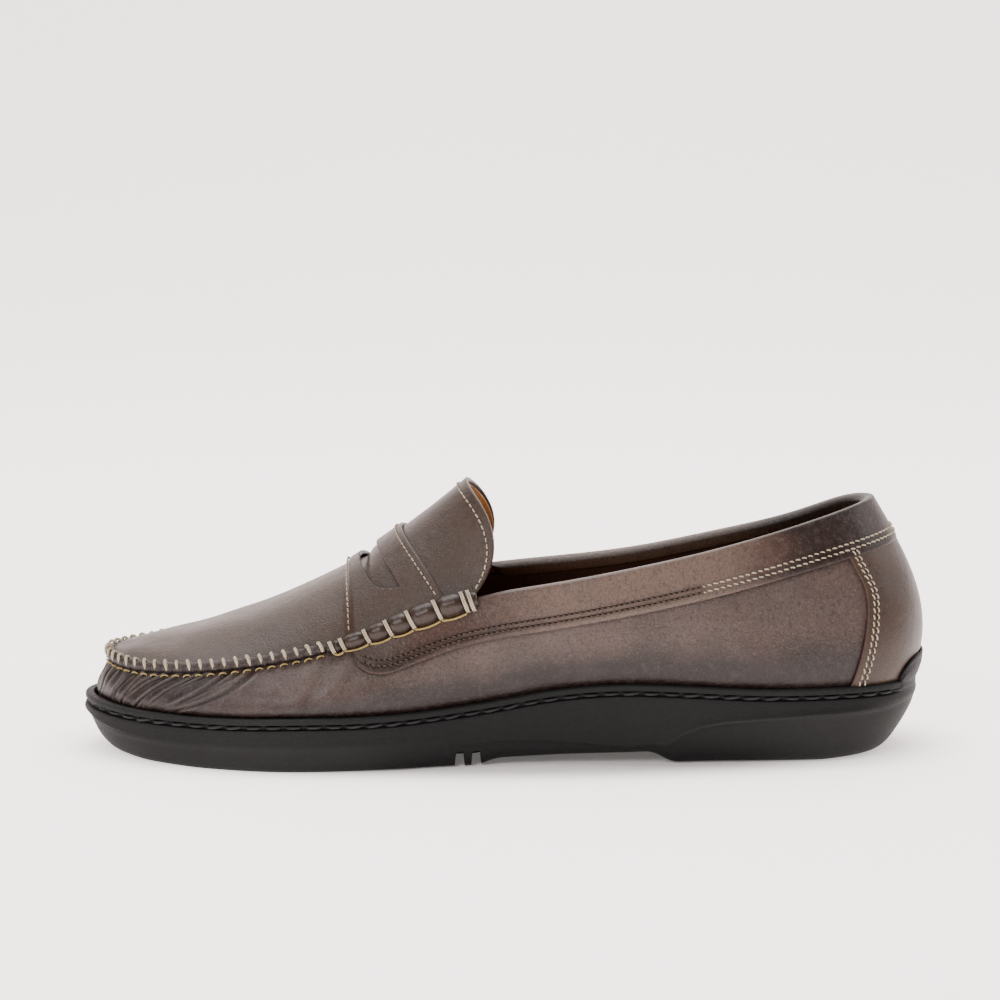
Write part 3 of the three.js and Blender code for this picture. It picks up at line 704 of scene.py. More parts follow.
# ---- vamp and quarters ------------------------------------------------------------------------------------
def toe_pleats(side):
    """Place, depth, start, breadth and tilt of each pleat on one side of the toe."""
    places, spot = [], 0.12
    while spot < 3.0:
        depth = RANDOM.uniform(0.4, 1.35) * (1 - 0.4 * ease(spot, 2.0, 3.0))
        places.append((side * spot, depth, RANDOM.uniform(-0.3, 0.5), RANDOM.uniform(0.012, 0.036),
                       RANDOM.uniform(-0.2, 0.2)))
        spot += RANDOM.uniform(0.11, 0.3)
    return places


PLEATS = toe_pleats(-1) + toe_pleats(1)
# Station, depth, drift from top to bottom and breadth of the creases where the shoe bends.
CREASES = (
    (8.08, 0.7, 0.32, 0.1), (8.55, 0.25, 0.35, 0.13), (7.55, 0.35, 0.4, 0.16),
    (15.9, 0.7, -0.3, 0.1), (15.3, 0.3, -0.3, 0.12), (16.5, 0.3, -0.3, 0.14),
)


def folded(u, v):
    """Height of the folds over the upper's smooth surface, and how far each spot is valley and crest."""
    t = np.asarray(u, float) % 24 - 12
    side = np.where(t < 0, -1.0, 1.0)
    slant = 1.05 * hill(np.abs(t), 1.9, 1.15)
    wander = 0.016 * np.sin(7 * v + 3 * t)
    along = t + side * slant * (1 - v) + wander
    height = np.zeros(np.broadcast(u, v).shape)
    depth, crest = np.zeros_like(height), np.zeros_like(height)
    for place, amount, start, breadth, tilt in PLEATS:
        strength = ease(v, start - 0.25, start + 0.5) * amount
        gap = np.abs(along - place - tilt * (1 - v))
        groove = np.exp(-((gap / breadth) ** 1.1))
        height += strength * (0.3 * hill(gap, 0.09, 0.05) - groove)
        depth += strength * groove * 1.3
        crest += strength * hill(gap, 0.065, 0.02)
    for place, amount, drift, breadth in CREASES:
        groove = hill(t + 12 - drift * (1 - v), place, breadth)
        height -= amount * groove * ease(v, 0.0, 0.3)
        depth += 0.35 * amount * groove
    around = np.abs(from_heel(u))
    creased = hill(around, 1.9, 0.55) * hill(v, 0.58, 0.22)
    height -= 0.3 * creased * np.abs(np.sin(17 * around + 9 * v + 2 * np.sin(9 * v))) ** 3
    wave = np.sin(3.1 * t + 4 * v) + np.sin(5.3 * t - 6 * v + 1) + 0.6 * np.sin(8.7 * t + 9 * v)
    height += 0.16 * wave * np.sin(np.pi * np.clip(v, 0, 1)) * ease(around, 0.5, 2.5)
    return height, np.clip(depth, 0, 1), np.clip(crest, 0, 1)


def upper_stations():
    """Stations round the shoe, closest together where the leather is pleated."""
    places, spot = [], 0.0
    while spot < 24:
        places.append(spot)
        spot += 0.0135 if 8.6 < spot < 15.4 else 0.045
    return np.array(places)


def vamp_quarter():
    us = upper_stations()[:, None]
    rises = np.concatenate([np.linspace(0.0, 0.9, 38), np.linspace(0.92, 0.995, 5)])[None]
    height, depth, crest = folded(us, rises)
    height *= ease(rises, -0.02, 0.06)
    bottom = ((-9, -6.0), (-1, -6.0), (-0.15, -5.2), (-0.15, -2.5), (-0.15, -0.8))
    outer = wall(us, rises, height)
    outer[:, 0] -= outward(us[:, 0]) * 0.15
    roll = np.radians([55, 20, -20, -55])[None]
    lift = 0.5 * np.cos(roll) / wall_height(us[:, 0])[:, None]
    edge = wall(us, 0.995 + lift, -UPPER / 2 + UPPER / 2 * np.sin(roll) * 0.9)
    inside = np.linspace(0.99, 0.0, 9)[None]
    lowest = ((-1.75, -0.8), (-1.75, -4.4), (-9, -4.4))
    loops = np.concatenate([*[rim(us, out, up) for out, up in bottom], outer, edge,
                            wall(us, inside, -UPPER), *[rim(us, out, up) for out, up in lowest]], 1)
    flat = np.zeros((len(us), 1))
    blank = [flat] * len(bottom)
    rest = [flat] * (roll.size + inside.size + len(lowest))
    signed = from_heel(us)
    around = np.abs(signed)
    # Painted shade: the low mark is darker near the sole, and darker over the toe.
    near = 1 - ease(rises, 0.05, 0.42) + 0 * us
    low = near * (0.85 + 0.25 * (1 - ease(around, 7.5, 9.5)))
    low = np.maximum(low, 0.85 * ease(around, 8.3, 10.2))
    drop = (1 - rises) * wall_height(us[:, 0])[:, None]
    # Painted shadow under the collar band's lower edge, added to the painted shade in the pleat valleys and
    # creases.
    band_edge_shadow = 0.6 * hill(drop - band_width(signed), 0.5, 0.8) * (around < 7.8)
    depth = np.maximum(depth, band_edge_shadow)
    # Painted highlight on the pleat crests and over the upper part of the wall.
    ridge = 0.55 * crest * (1 - depth) + 0.25 * ease(rises, 0.15, 0.5) * (1 - ease(around, 8, 9.5))
    shades = {"recess_shade": depth * 0.95, "low": low, "worn_and_sheen": ridge}
    marks = {mark: np.concatenate([*blank, shade, *rest], 1) for mark, shade in shades.items()}
    shell = skin("vamp_quarter", loops, True, marks)
    bead = seam_bead(BEAD_START - 0.05, BEAD_END + 0.05)
    return looked(joined("vamp_quarter", [shell, bead]), LEATHER)


def run_along(points):
    """Distance along a line of points to each of them."""
    return np.concatenate([[0], np.cumsum(np.linalg.norm(np.diff(points, axis=0), axis=1))])


def seam_spots(start, end, pitch):
    """Stations that lie at equal distances along the seam."""
    us = np.linspace(start, end, 900)
    run = run_along(TOP_EDGE(us))
    return np.interp(np.linspace(0, run[-1], int(run[-1] / pitch) + 1), run, us)


def seam_bead(start, end):
    """The two leathers of the moccasin seam, gathered up into a ridge that every whip stitch pinches."""
    us = seam_spots(start, end, 0.42)
    point, out, across, _ = seam_frame(us)
    puff = np.abs(np.sin(np.pi * (run_along(point) / WHIP_PITCH))) ** 0.5
    ends = ease(us, start, start + 0.15) * (1 - ease(us, end - 0.15, end))
    turns = np.linspace(0, 2 * np.pi, 18, endpoint=False)[None, :, None]
    size = ((0.78 + 0.22 * puff) * (0.5 + 0.5 * ends))[:, None, None]
    loops = (point[:, None] + out[:, None] * (1.25 + 2.0 * size * np.sin(turns))
             + across[:, None] * (-0.35 + 1.95 * size * np.cos(turns)))
    # Painted highlight on the bead's top, and painted shade between the pinches and on its underside.
    worn_and_sheen = np.clip(np.sin(turns[..., 0]), 0, 1) * puff[:, None] * 0.1
    recess_shade = 0.42 + (1 - puff[:, None]) * 0.5 + np.clip(0.5 - np.sin(turns[..., 0]), 0, 0.6)
    return skin("bead", loops, False, {"worn_and_sheen": worn_and_sheen, "recess_shade": recess_shade})


# ---- plug, strap and linings ------------------------------------------------------------------------------
def raw_edge(low, high):
    """A mark that is 1 on the cut edge between two offsets and 0 on the leather's faces."""
    middle, half = (low + high) / 2, (high - low) / 2
    return lambda u, v, out: np.clip(1.25 - ((out - middle) / half) ** 2 * 1.25, 0, 1) ** 0.5


def top_light(s, w, out):
    """Painted highlight along the ridge of the apron."""
    return 0.3 * (1 - ease(np.abs(w), 0.15, 0.75)) * (1 - ease(s, 0.45, 0.7)) + 0 * out


def penny_dip(s, w):
    """How far the plug sinks away behind the front edge of the penny slot."""
    return 2.2 * hill(s, 0.585, 0.03) * hill(w, 0, 0.42)


def plug_tongue():
    low, high = PLUG_GAP, PLUG_GAP + PLUG
    ss = np.concatenate([np.linspace(0.012, 0.5, 90), np.linspace(0.505, 1, 80)])
    marks = {"raw": raw_edge(low, high), "worn_and_sheen": top_light}

    def place(s, w, out):
        dents = 0.22 * np.sin(21 * s + 3 * w) * np.sin(6 * w) + 0.1 * np.sin(47 * s - 4 * w)
        dents = dents * ease(1 - np.abs(w), 0.0, 0.3) * (1 - ease(s, 0.3, 0.45))
        return plug(s, w, out - penny_dip(s, w) + dents)

    piece = leather("plug_tongue", place, ss, np.linspace(-0.985, 0.985, 96), low, high, marks=marks)
    return looked(piece, PLUG_LEATHER)


def slot_edges(w):
    """Front and rear edge of the penny slot at a place across the strap."""
    reach = np.clip(np.abs(w) / SLOT_REACH, 0, 1)
    return 0.567 + 0.05 * reach**1.6 + 0.056 * reach**16, 0.66 + 0.013 * reach


def cut_slot(strap):
    """Cuts the penny slot through the strap."""
    ws = np.sin(np.linspace(-1, 1, 61) * np.pi / 2) * SLOT_REACH * 0.997
    front, rear = slot_edges(ws)
    ring_s, ring_w = np.concatenate([front, rear[::-1]]), np.concatenate([ws, ws[::-1]])
    heights = np.linspace(STRAP_LOW - 0.6, STRAP_HIGH + 2, 3)
    loops = np.stack([plug(ring_s, ring_w, height) for height in heights])
    cutter = skin("slot_cutter", loops)
    modifier = strap.modifiers.new("slot", "BOOLEAN")
    modifier.object, modifier.operation, modifier.solver = cutter, "DIFFERENCE", "EXACT"
    graph = bpy.context.evaluated_depsgraph_get()
    strap.data = bpy.data.meshes.new_from_object(strap.evaluated_get(graph))
    strap.modifiers.clear()
    bpy.data.objects.remove(cutter)
    strap.data.polygons.foreach_set("use_smooth", [True] * len(strap.data.polygons))
    return strap


def saddle_strap():
    ss = np.linspace(0.508, 0.75, 70)

    def place(s, w, out):
        return plug(s, w, out - PLUG * (1 - ease(s, 0.51, 0.54)))

    strap = leather("saddle_strap", place, ss, np.linspace(-0.99, 0.99, 150), STRAP_LOW, STRAP_HIGH,
                    marks={"raw": raw_edge(STRAP_LOW, STRAP_HIGH)})
    cut_slot(strap)
    strap.name = strap.data.name = "saddle_strap"
    return looked(strap, PLUG_LEATHER)


def plug_lining():
    place = lambda s, w, out: plug(s, w, out - penny_dip(s, w))
    ss, ws = np.linspace(0.1, 0.985, 110), np.linspace(-0.9, 0.9, 40)
    return looked(leather("plug_lining", place, ss, ws, -1.05, 0.05), TAN)


def vamp_lining():
    place = lambda u, v, out: wall(u, v, out - UPPER - 0.1)
    us, vs = np.linspace(6.2, 17.8, 120), np.linspace(0.01, 0.86, 14)
    return looked(leather("vamp_lining", place, us, vs, -LINING, 0), TAN)


def quarter_lining():
    def place(u, share, out):
        v = share * (1 - 3.4 / wall_height(u))
        push = 1.6 * (1 - ease(np.abs(u), 2.75, 3.5)) * (1 - ease(v, 0.7, 0.9))
        return wall(u, v, out - UPPER - 0.25 - push)

    us, shares = np.linspace(-6.2, 6.2, 180), np.linspace(0.01, 1, 30)
    return looked(leather("quarter_lining", place, us, shares, -LINING, 0), DARK_LINING)


# ---- collar band and heel panel ---------------------------------------------------------------------------
def band_width(u):
    tip = np.clip((np.abs(u) - 7.05) / 0.76, 0, 1)
    return BAND_WIDTH * np.sqrt(np.maximum(1 - tip**2, 0.0004))


def collar_band():
    """The band runs down from the topline, and is turned in over it as far as the beefrolls."""
    us = np.concatenate([np.linspace(-7.8, -7.05, 26)[:-1], np.linspace(-7.05, 7.05, 420),
                         np.linspace(7.05, 7.8, 26)[1:]])[:, None]
    tall, width = wall_height(us[:, 0])[:, None], band_width(us)
    turned = 1 - ease(np.abs(us), 5.45, 5.95)
    facing = -normal(wall_base, us[:, 0], 0.94)
    top = TOP_EDGE(us[:, 0])
    rising = unit(top - wall_base(us[:, 0], 0.97))

    def over(turn, radius, drop=0.0):
        """Round the topline, about the middle of the upper's thickness."""
        bend = turn * turned
        away = -0.85 + radius * np.cos(bend) * np.ones_like(us)
        rise = (0.5 * radius * np.sin(bend) - 0.6 - drop) * turned
        return top[:, None] + facing[:, None] * away[..., None] + rising[:, None] * rise[..., None]

    def strip(share, out):
        return wall(us, 1 - share * width / tall, out)

    low, high = SEWN_GAP, SEWN_GAP + BAND
    shares = np.concatenate([np.linspace(1, 0.86, 6), np.linspace(0.8, 0.1, 14)])[None]
    turns = np.radians([0, 22, 45, 68, 90, 112, 135, 158, 180])[None]
    outer_radius, inner_radius = 0.85 + high, 0.85 + low
    rounding = np.radians([65, 30, -5, -40, -70])[None]
    foot = 1 - (width + 0.55 * np.cos(rounding)) / tall
    edge = wall(us, foot, (low + high) / 2 + BAND / 2 * np.sin(rounding))
    leg = [over(np.pi, outer_radius, d) for d in (1.5, 3.2)]
    tip = [over(np.pi, radius, 3.7) for radius in (outer_radius - 0.2, inner_radius + 0.2)]
    back = [over(np.pi, inner_radius, d) for d in (3.2, 1.5)]
    bulge = 0.18 * ease(shares, 0.86, 0.93) * (1 - ease(shares, 0.95, 1.0))
    loops = np.concatenate([
        edge[:, ::-1], strip(shares, high + bulge), over(turns, outer_radius), *leg, *tip, *back,
        over(turns[:, ::-1], inner_radius), strip(shares[:, ::-1], low)], 1)
    around, blank = np.abs(us), np.zeros(loops.shape[:2])
    # Painted satin highlight across the middle stretch of the band.
    worn_and_sheen = blank + 0.42 * ease(around, 2.1, 3.2) * (1 - ease(around, 4.6, 6.2))
    # Painted shade: the low mark is darker towards the heel and along the band's lower edge.
    dark = blank + 0.9 * (1 - ease(around, 1.6, 2.8))
    dark[:, rounding.size:rounding.size + 7] += 0.35
    # Painted shade inside the turn over the topline.
    recess_shade = blank.copy()
    first = rounding.size + shares.size
    recess_shade[:, first + 5:first + 16] = 0.45
    marks = {"worn_and_sheen": worn_and_sheen, "low": dark, "recess_shade": recess_shade}
    return looked(skin("collar_band", loops, False, marks), BAND_LEATHER)


def panel_edge(rise):
    """Station of the heel panel's front edge."""
    return 1.74 - 1.1 * rise + 0.5 * rise * rise + 0.2 * ease(rise, 0.5, 0.8)


def on_panel(share, height, out):
    rise = height * (1 - (BAND_WIDTH - 2.5) / wall_height(share * 1.04))
    return wall(share * panel_edge(rise), rise, out)


def heel_panel():
    low, high = SEWN_GAP, SEWN_GAP + PANEL

    def place(share, height, out):
        ridge = 0.35 * hill(25 * (1 - np.abs(share)), 1.0, 0.8)
        return on_panel(share, height, out + ridge * (out > low + 0.3))

    # Painted highlight along the panel's raised front edge.
    worn_and_sheen = lambda share, height, out: 0.15 * hill(25 * (1 - np.abs(share)), 0.6, 0.9)
    ends = 1 - np.geomspace(0.001, 0.2, 16)
    shares = np.concatenate([-ends, np.linspace(-0.78, 0.78, 90), ends[::-1]])
    piece = leather("heel_panel", place, shares, np.linspace(0.0, 1, 50), low, high,
                    marks={"raw": raw_edge(low, high), "worn_and_sheen": worn_and_sheen})
    return looked(piece, PLUG_LEATHER)


# ---- beefrolls --------------------------------------------------------------------------------------------
WRAPS = (0.01, 0.08, 0.25, 0.41, 0.57, 0.76, 0.94, 0.98)  # places of the thread's turns


def roll_station(share, lateral):
    station = ROLL_FRONT + (ROLL_BACK - ROLL_FRONT) * np.asarray(share, float)
    return 24 - station if lateral else station


def roll_size(share):
    return 0.62 + 0.38 * ease(share, 0.0, 0.75)


def toward_plug(across):
    """The direction across the seam that points up to the plug."""
    return across * np.where(across[..., 2:3] < 0, -1.0, 1.0)


def roll_section(share, angle, lateral, grow=0.0, slip=0.0):
    """Point on a beefroll: angle 0 is its underside's edge, a half turn its edge on the strap."""
    share, angle = np.broadcast_arrays(np.asarray(share, float), np.asarray(angle, float))
    point, out, across, along = seam_frame(roll_station(share, lateral))
    if lateral:
        along = -along
    fat = roll_size(share)
    away = STRAP_LOW - 0.2 + (4.3 * fat + grow) * np.sin(angle)
    side = -0.6 - (3.75 * fat + grow) * np.cos(angle)
    return point + out * away[..., None] + toward_plug(across) * side[..., None] + along * slip


def beefroll(name, lateral):
    shares = np.linspace(-0.02, 1.02, 210)
    turns = np.linspace(-0.35, np.pi + 0.35, 34)
    gap = np.abs(shares[:, None] - np.array(WRAPS)[None]).min(1)
    pinch = np.exp(-((gap / 0.022) ** 1.6))
    round_end = 1 - ease(np.abs(shares - 0.5), 0.49, 0.52) * 0.35
    puff = (0.45 * ease(gap, 0.01, 0.06) - 0.75 * pinch)[:, None]
    grow = puff - (1 - round_end)[:, None] * 3
    loops = roll_section(shares[:, None], turns[None], lateral, grow)
    # Painted highlight along the roll's top, and painted shade at the wraps' pinches.
    worn_and_sheen = np.clip(np.sin(turns)[None] * (1 - pinch[:, None]), 0, 1) * 0.28
    piece = skin(name, loops, False, {"recess_shade": pinch[:, None] * 0.6 + 0 * worn_and_sheen, "worn_and_sheen": worn_and_sheen})
    return looked(piece, ROLL_LEATHER)


def beefroll_lashing(name, lateral):
    """Doubled thread wound round the roll through the strap, with its lower loops along the quarter."""
    turns, loops = [], []
    angles = np.linspace(-0.3, np.pi + 0.25, 22)
    for number, share in enumerate(WRAPS):
        lean = np.linspace(0.012, -0.012, len(angles))
        for strand in (-0.34, 0.34):
            turns.append(roll_section(share + lean, angles, lateral, -0.12, strand))
        after = WRAPS[min(number + 1, len(WRAPS) - 1)]
        if after - share > 0.06:
            run = np.linspace(share + 0.01, after - 0.004, 14)
            sag = 0.6 * np.sin(np.linspace(0, np.pi, 14))
            low = roll_section(run, np.full(14, 0.12), lateral, 0.6)
            loops.append(low - np.stack([0 * sag, 0 * sag, sag], -1))
    wraps = cords(name, turns, CREAM, 0.72)
    lower = cords(name + "_lower", loops, YELLOW, 0.75)
    return joined_looks(name, wraps, lower)


def joined_looks(name, first, second):
    """Joins two pieces that keep their own materials."""
    looks, places = [], []
    for piece in (first, second):
        own = np.zeros(len(piece.data.polygons), int)
        piece.data.polygons.foreach_get("material_index", own)
        used = list(piece.data.materials)[-1 - own.max():]
        places.append(own + len(looks))
        looks += used
    whole = joined(name, [first, second])
    whole.data.materials.clear()
    for look in looks:
        whole.data.materials.append(look)
    whole.data.polygons.foreach_set("material_index", np.concatenate(places))
    return whole


# ---- rubber sole ------------------------------------------------------------------------------------------
def underside(x):
    return smooth_rows(UNDERSIDE_ROWS, x, 2.5)


def chaikin(loops, rounds=2):
    """Cuts the corners of a stack of loops along the stack."""
    for _ in range(rounds):
        quarter = 0.75 * loops[:-1] + 0.25 * loops[1:]
        three = 0.25 * loops[:-1] + 0.75 * loops[1:]
        middle = np.stack([quarter, three], 1).reshape(-1, *loops.shape[1:])
        loops = np.concatenate([loops[:1], middle, loops[-1:]])
    return loops


def slots_at(x):
    """1 where one of the two slots crosses behind the ball of the foot."""
    gap = np.minimum(*[np.abs(x - centre) for centre in SLOT_CENTRES])
    return 1 - ease(gap, SLOT_HALF, SLOT_HALF + 0.25)


def outsole():
    us = np.concatenate([np.arange(0, 24, 0.05), np.linspace(5.7, 6.2, 60), np.linspace(17.8, 18.3, 60)])
    us = np.unique(np.round(us, 5))
    tuck = TUCK(us)[:, 0]
    plan_x = FEATHER(us)[:, 0]
    ridge = np.interp(plan_x, [-30, 44, 56, 62.5, 69.6, 76.8, 89, 105, 123, 150],
                      [0.5, 0.14, 0.22, 0.4, 0.5, 0.56, 0.61, 0.65, 0.67, 0.68])
    heel = ease(plan_x, 50, 75)

    def between(out, share):
        """Point at a share of the height from the underside to the lip."""
        point = rim(us, out, 0)
        foot = underside(point[:, 0])
        point[:, 2] = foot + (point[:, 2] - foot) * share
        return point

    def under(out, rise):
        point = rim(us, out, 0)
        point[:, 2] = underside(point[:, 0]) + rise
        return point

    away = ease(np.abs(from_heel(us)), 0.85, 1.15)
    nose = 1.2 * ease(-plan_x, 128, 146)
    upper_part = [
        (0.15, -CUP_DEPTH), (0.15, -1.2), (0.25, -0.1), (1.4, 0.15), (2.7, 0.0), (3.15, -0.6), (3.2, -1.4),
        (3.2, -1.9), (3.2 - 0.25 * away, -2.1), (3.2 - 1.3 * away, -2.25), (3.2 - 1.45 * away, -GROOVE_DROP),
        (3.2 - 1.3 * away, -3.75), (3.25 - 0.25 * away, -3.9), (3.3, -4.2)]
    rings = [rim(us, out + nose * (up < 0.1), up) for out, up in upper_part]
    side = heel * (1 - ease(plan_x, 118, 140))
    rings += [between(3.5 + nose + 0.2 * side, np.maximum(ridge + 0.09, 0.56)),
              between(3.6 + nose - 0.5 * heel + 1.2 * side, ridge + 0.035),
              between(3.6 - 0.8 * heel + 1.5 * side, ridge), between(3.5 - heel + 0.7 * side, ridge - 0.035),
              between(3.2 - 0.12 * tuck, ridge * 0.8), between(3.0 - 0.37 * tuck, ridge * 0.45),
              between(2.2 - 0.7 * tuck, ridge * 0.08), under(-0.4 - 0.85 * tuck, 0), under(-3 - tuck, 0),
              under(-6 - tuck, 0)]
    rings += [under(-6.6 - tuck, 0.1), under(-7 - tuck, 2.0), under(-9 - tuck, 2.2)]
    loops = chaikin(np.stack(rings))
    spine = loops[-1].copy()
    spine[:, 1] = 2.0
    loops = np.concatenate([loops, np.stack([loops[-1] + (spine - loops[-1]) * k for k in (0.4, 0.8)])])
    foot = underside(loops[..., 0])
    reach = np.linalg.norm(loops[..., :2] - FEATHER(us)[None], axis=-1)
    cut = foot + (5.6 - 2.8 * ease(reach, 6, 6.5)) * slots_at(loops[..., 0])
    lips = lip_height(loops[..., 0])
    loops[..., 2] = np.where(loops[..., 2] < lips - 8, np.maximum(loops[..., 2], cut), loops[..., 2])
    height = loops[..., 2] - lips
    order = np.arange(len(loops))[:, None] + 0 * height
    # Painted shade in the stitch groove and the slots, and painted highlight on the lip and along the heel's
    # ridge line.
    groove = hill(height, -GROOVE_DROP, 0.85) * (order < 60) * (order > 12)
    lip = 0.8 * hill(height, 0, 0.9)
    ridge_highlight = hill(order / 4, 15.9, 0.28) * heel
    slot = 0.8 * slots_at(loops[..., 0]) * (loops[..., 2] < foot + 6)
    body = skin("outsole", loops, False, {"recess_shade": np.maximum(groove * 0.8, slot), "worn_and_sheen": lip + ridge_highlight})
    return looked(joined("outsole", [body, heel_tab()]), RUBBER)


def heel_tab():
    """Rubber that rises from the lip up the back of the heel."""
    low, high = SEWN_GAP + PANEL + 0.1, SEWN_GAP + PANEL + 1.75
    us = np.linspace(-0.86, 0.86, 70)

    def place(u, share, out):
        tall = TAB_HEIGHT * np.sqrt(np.clip(1 - (np.abs(u) / 0.9) ** 5, 0, 1))
        v = (tall * share - 1.5) / wall_height(u)
        swell = 0.45 - 0.45 * ease(share, 0, 0.6) - 0.6 * ease(share, 0.6, 1.0)
        return wall(u, v, out + swell * (out > low + 0.5))

    return leather("tab", place, us, np.linspace(0.0, 1, 16), low, high)


def tread():
    """Bars of the tread under the forefoot and the heel."""
    routes, facings, widths = [], [], []
    sides = np.linspace(11.7, 0.3, 400), np.linspace(12.3, 23.7, 400)
    for start, end, inset in ((-118, -24, 9.5), (66, 122, 15)):
        xs = np.linspace(start, end, 60)
        low_y, high_y = [rim(np.interp(xs, FEATHER(side)[:, 0], side), -inset, 0)[:, 1] for side in sides]
        routes.append(np.stack([xs, (low_y + high_y) / 2, underside(xs) + 1.35], -1))
        facings.append(np.tile((0.0, 0.0, 1.0), (60, 1)))
        widths.append((high_y - low_y) * MM)
    values = {"Pitch": 8.5 * MM, "Length": 5.9 * MM, "Depth": 2.6 * MM, "Rubber": RUBBER}
    return baked("tread", BARS_ALONG, routes, facings, values, {"width": np.concatenate(widths)})


def sole():
    return joined("outsole", [outsole(), tread()])


# ---- footbed ----------------------------------------------------------------------------------------------
def footbed():
    """Padded footbed, dished under the heel and rolled over at its edge."""
    us = np.arange(0, 24, 0.08)
    edge = [(-5.6, -1.9), (-5.15, -1.6), (-5.1, -0.4), (-5.3, 0.5), (-5.9, 1.0), (-6.8, 1.2), (-8.5, 1.15)]
    rings = [rim(us, out, up) for out, up in edge]
    last = rings[-1]
    spine = rim(us, *edge[-1])
    spine[:, 1] = np.clip(spine[:, 1], -1, 3)
    for share in (0.2, 0.4, 0.6, 0.8, 0.95):
        ring = last + (spine - last) * share
        dish = 0.5 * share * ease(ring[:, 0], 30, 90)
        ring[:, 2] = lip_height(ring[:, 0]) + edge[-1][1] - dish
        rings.append(ring)
    return looked(skin("sock_lining", np.stack(rings)), TAN)


# ---- seams ------------------------------------------------------------------------------------------------
def wall_route(us, drops, out):
    """A row on the side wall, at a distance down from the top edge."""
    us = np.asarray(us, float)
    v = 1 - drops / wall_height(us)
    return wall(us, v, out), -normal(wall_base, us, np.clip(v, 0.06, 0.94))


def collar_rows(name, row):
    """A row of the collar: a dark cord as painted shade of the needle holes and tonal thread in front, pale
    thread behind.
    """
    us = np.linspace(-7.6, 7.6, 900)
    route = wall_route(us, band_width(us) - 2.1 - 1.95 * row, SEWN_GAP + BAND)
    fronts = [cut_route(route, us, 3.3, 7.6), cut_route(route, us, -7.6, -3.3)]
    hole_shade_cord = cords(name + "_holes", [front[0] - 0.12 * front[1] for front in fronts], HOLE_SHADE, 0.75)
    tonal = stitches(name + "_tonal", fronts, TONAL, 1.95, 1.1, 0.66, 0.3, 0.3, lean=-0.25, seed=3 + row)
    behind = cut_route(route, us, -3.3, 3.3)
    pale = stitches(name, [behind], CREAM, 2.3, 1.4, 0.55, 0.25, 0.25, lean=-0.3, seed=5 + row)
    return joined_looks(name, joined_looks(name, hole_shade_cord, tonal), pale)


def cut_route(route, us, start, end):
    inside = (us >= start) & (us <= end)
    return route[0][inside], route[1][inside]


def panel_rows(name, side, row):
    heights = np.linspace(0.03, 0.96, 120)
    reach = 1 - (1.9 + 2.0 * row) / PANEL_RUN
    face = lambda share, height: on_panel(share, height, SEWN_GAP + PANEL)
    places = np.full(len(heights), side * reach)
    facing = normal(face, places, heights, 0.01)
    facing *= np.sign((facing[:, :2] * outward(side * panel_edge(heights))[:, :2]).sum(-1))[:, None]
    route = face(places, heights), facing
    return stitches(name, [route], CREAM, 2.35, 1.75, 0.6, 0.3, 0.25, lean=0.35, seed=9 + row)


def plug_row(name, s, reach, out, pitch, span, thickness, seed):
    """A row straight across the plug or the strap."""
    ws = np.linspace(-reach, reach, 260)
    route = plug(s, ws, out), normal(plug_base, s + 0 * ws, ws)
    return stitches(name, [route], CREAM, pitch, span, thickness, 0.28, 0.25, seed=seed)


def whip_stitches():
    """Thread over the gathered seam at every pinch, and the running dashes below it."""
    us = np.linspace(BEAD_START + 0.05, BEAD_END - 0.02, 900)
    point, out, across, _ = seam_frame(us)
    up = toward_plug(across)
    crest = point + out * 1.95 + up * 0.5, out + up * 0.3
    low = wall(us, 1 - 2.1 / wall_height(us), 0.7), -normal(wall_base, us, 0.9)
    over = stitches("over", [crest], CREAM, WHIP_PITCH, 2.9, 1.25, 1.2, 0.6, math.pi / 2, 0.4, 21)
    dashes = stitches("dashes", [low], YELLOW, WHIP_PITCH, 2.5, 0.55, 0.3, 0.3, lean=0.14, seed=22)
    return joined_looks("moc_seam_stitch", over, dashes)


def sidewall_stitches():
    us = np.linspace(0.62, 23.38, 1500)
    route = rim(us, 2.05, -GROOVE_DROP - 0.05), outward(us)
    return stitches("sidewall_stitch", [route], BLACK, 7.0, 5.1, 1.15, 0.45, 0.3, lean=0.07, seed=31)


# ---- the shoe ---------------------------------------------------------------------------------------------
for make, slot in (
    (sole, "rubber_sole"), (vamp_quarter, "leather_upper"), (plug_tongue, "leather_plug"),
    (saddle_strap, "leather_plug"), (collar_band, "leather_band"), (heel_panel, "leather_plug"),
    (quarter_lining, "lining_dark"), (vamp_lining, "lining_tan"), (plug_lining, "lining_tan"),
    (footbed, "lining_tan"),
):
    standing(make())
for side, far in (("medial", False), ("lateral", True)):
    standing(beefroll("beefroll_" + side, far))
    standing(beefroll_lashing(f"beefroll_{side}_lashing", far))
    for row, place in enumerate(("front", "back")):
        standing(panel_rows(f"panel_stitch_{side}_{place}", -1 if far else 1, row))
standing(collar_rows("collar_stitch_lower", 0))
standing(collar_rows("collar_stitch_upper", 1))
for row in (
    plug_row("strap_front_stitch", 0.524, 0.92, STRAP_HIGH - 0.2, 2.4, 1.25, 0.42, 11),
    plug_row("strap_rear_stitch", 0.737, 0.92, STRAP_HIGH, 2.3, 1.25, 0.45, 12),
    plug_row("tongue_edge_stitch", 0.967, 0.95, PLUG_GAP + PLUG, 2.5, 1.45, 0.55, 13),
    whip_stitches(),
):
    standing(row)
standing(sidewall_stitches())

INNER = {"midsole_filler": FOAM, "bottom_filler": CORK, "shank": STEEL, "insole_board": BOARD,
         "heel_pad": FOAM, "heel_counter": BOARD}
for node, material in INNER.items():
    looked(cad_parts[node], material)


# ---- floor and light --------------------------------------------------------------------------------------
FLOOR_GLOW = 2.1


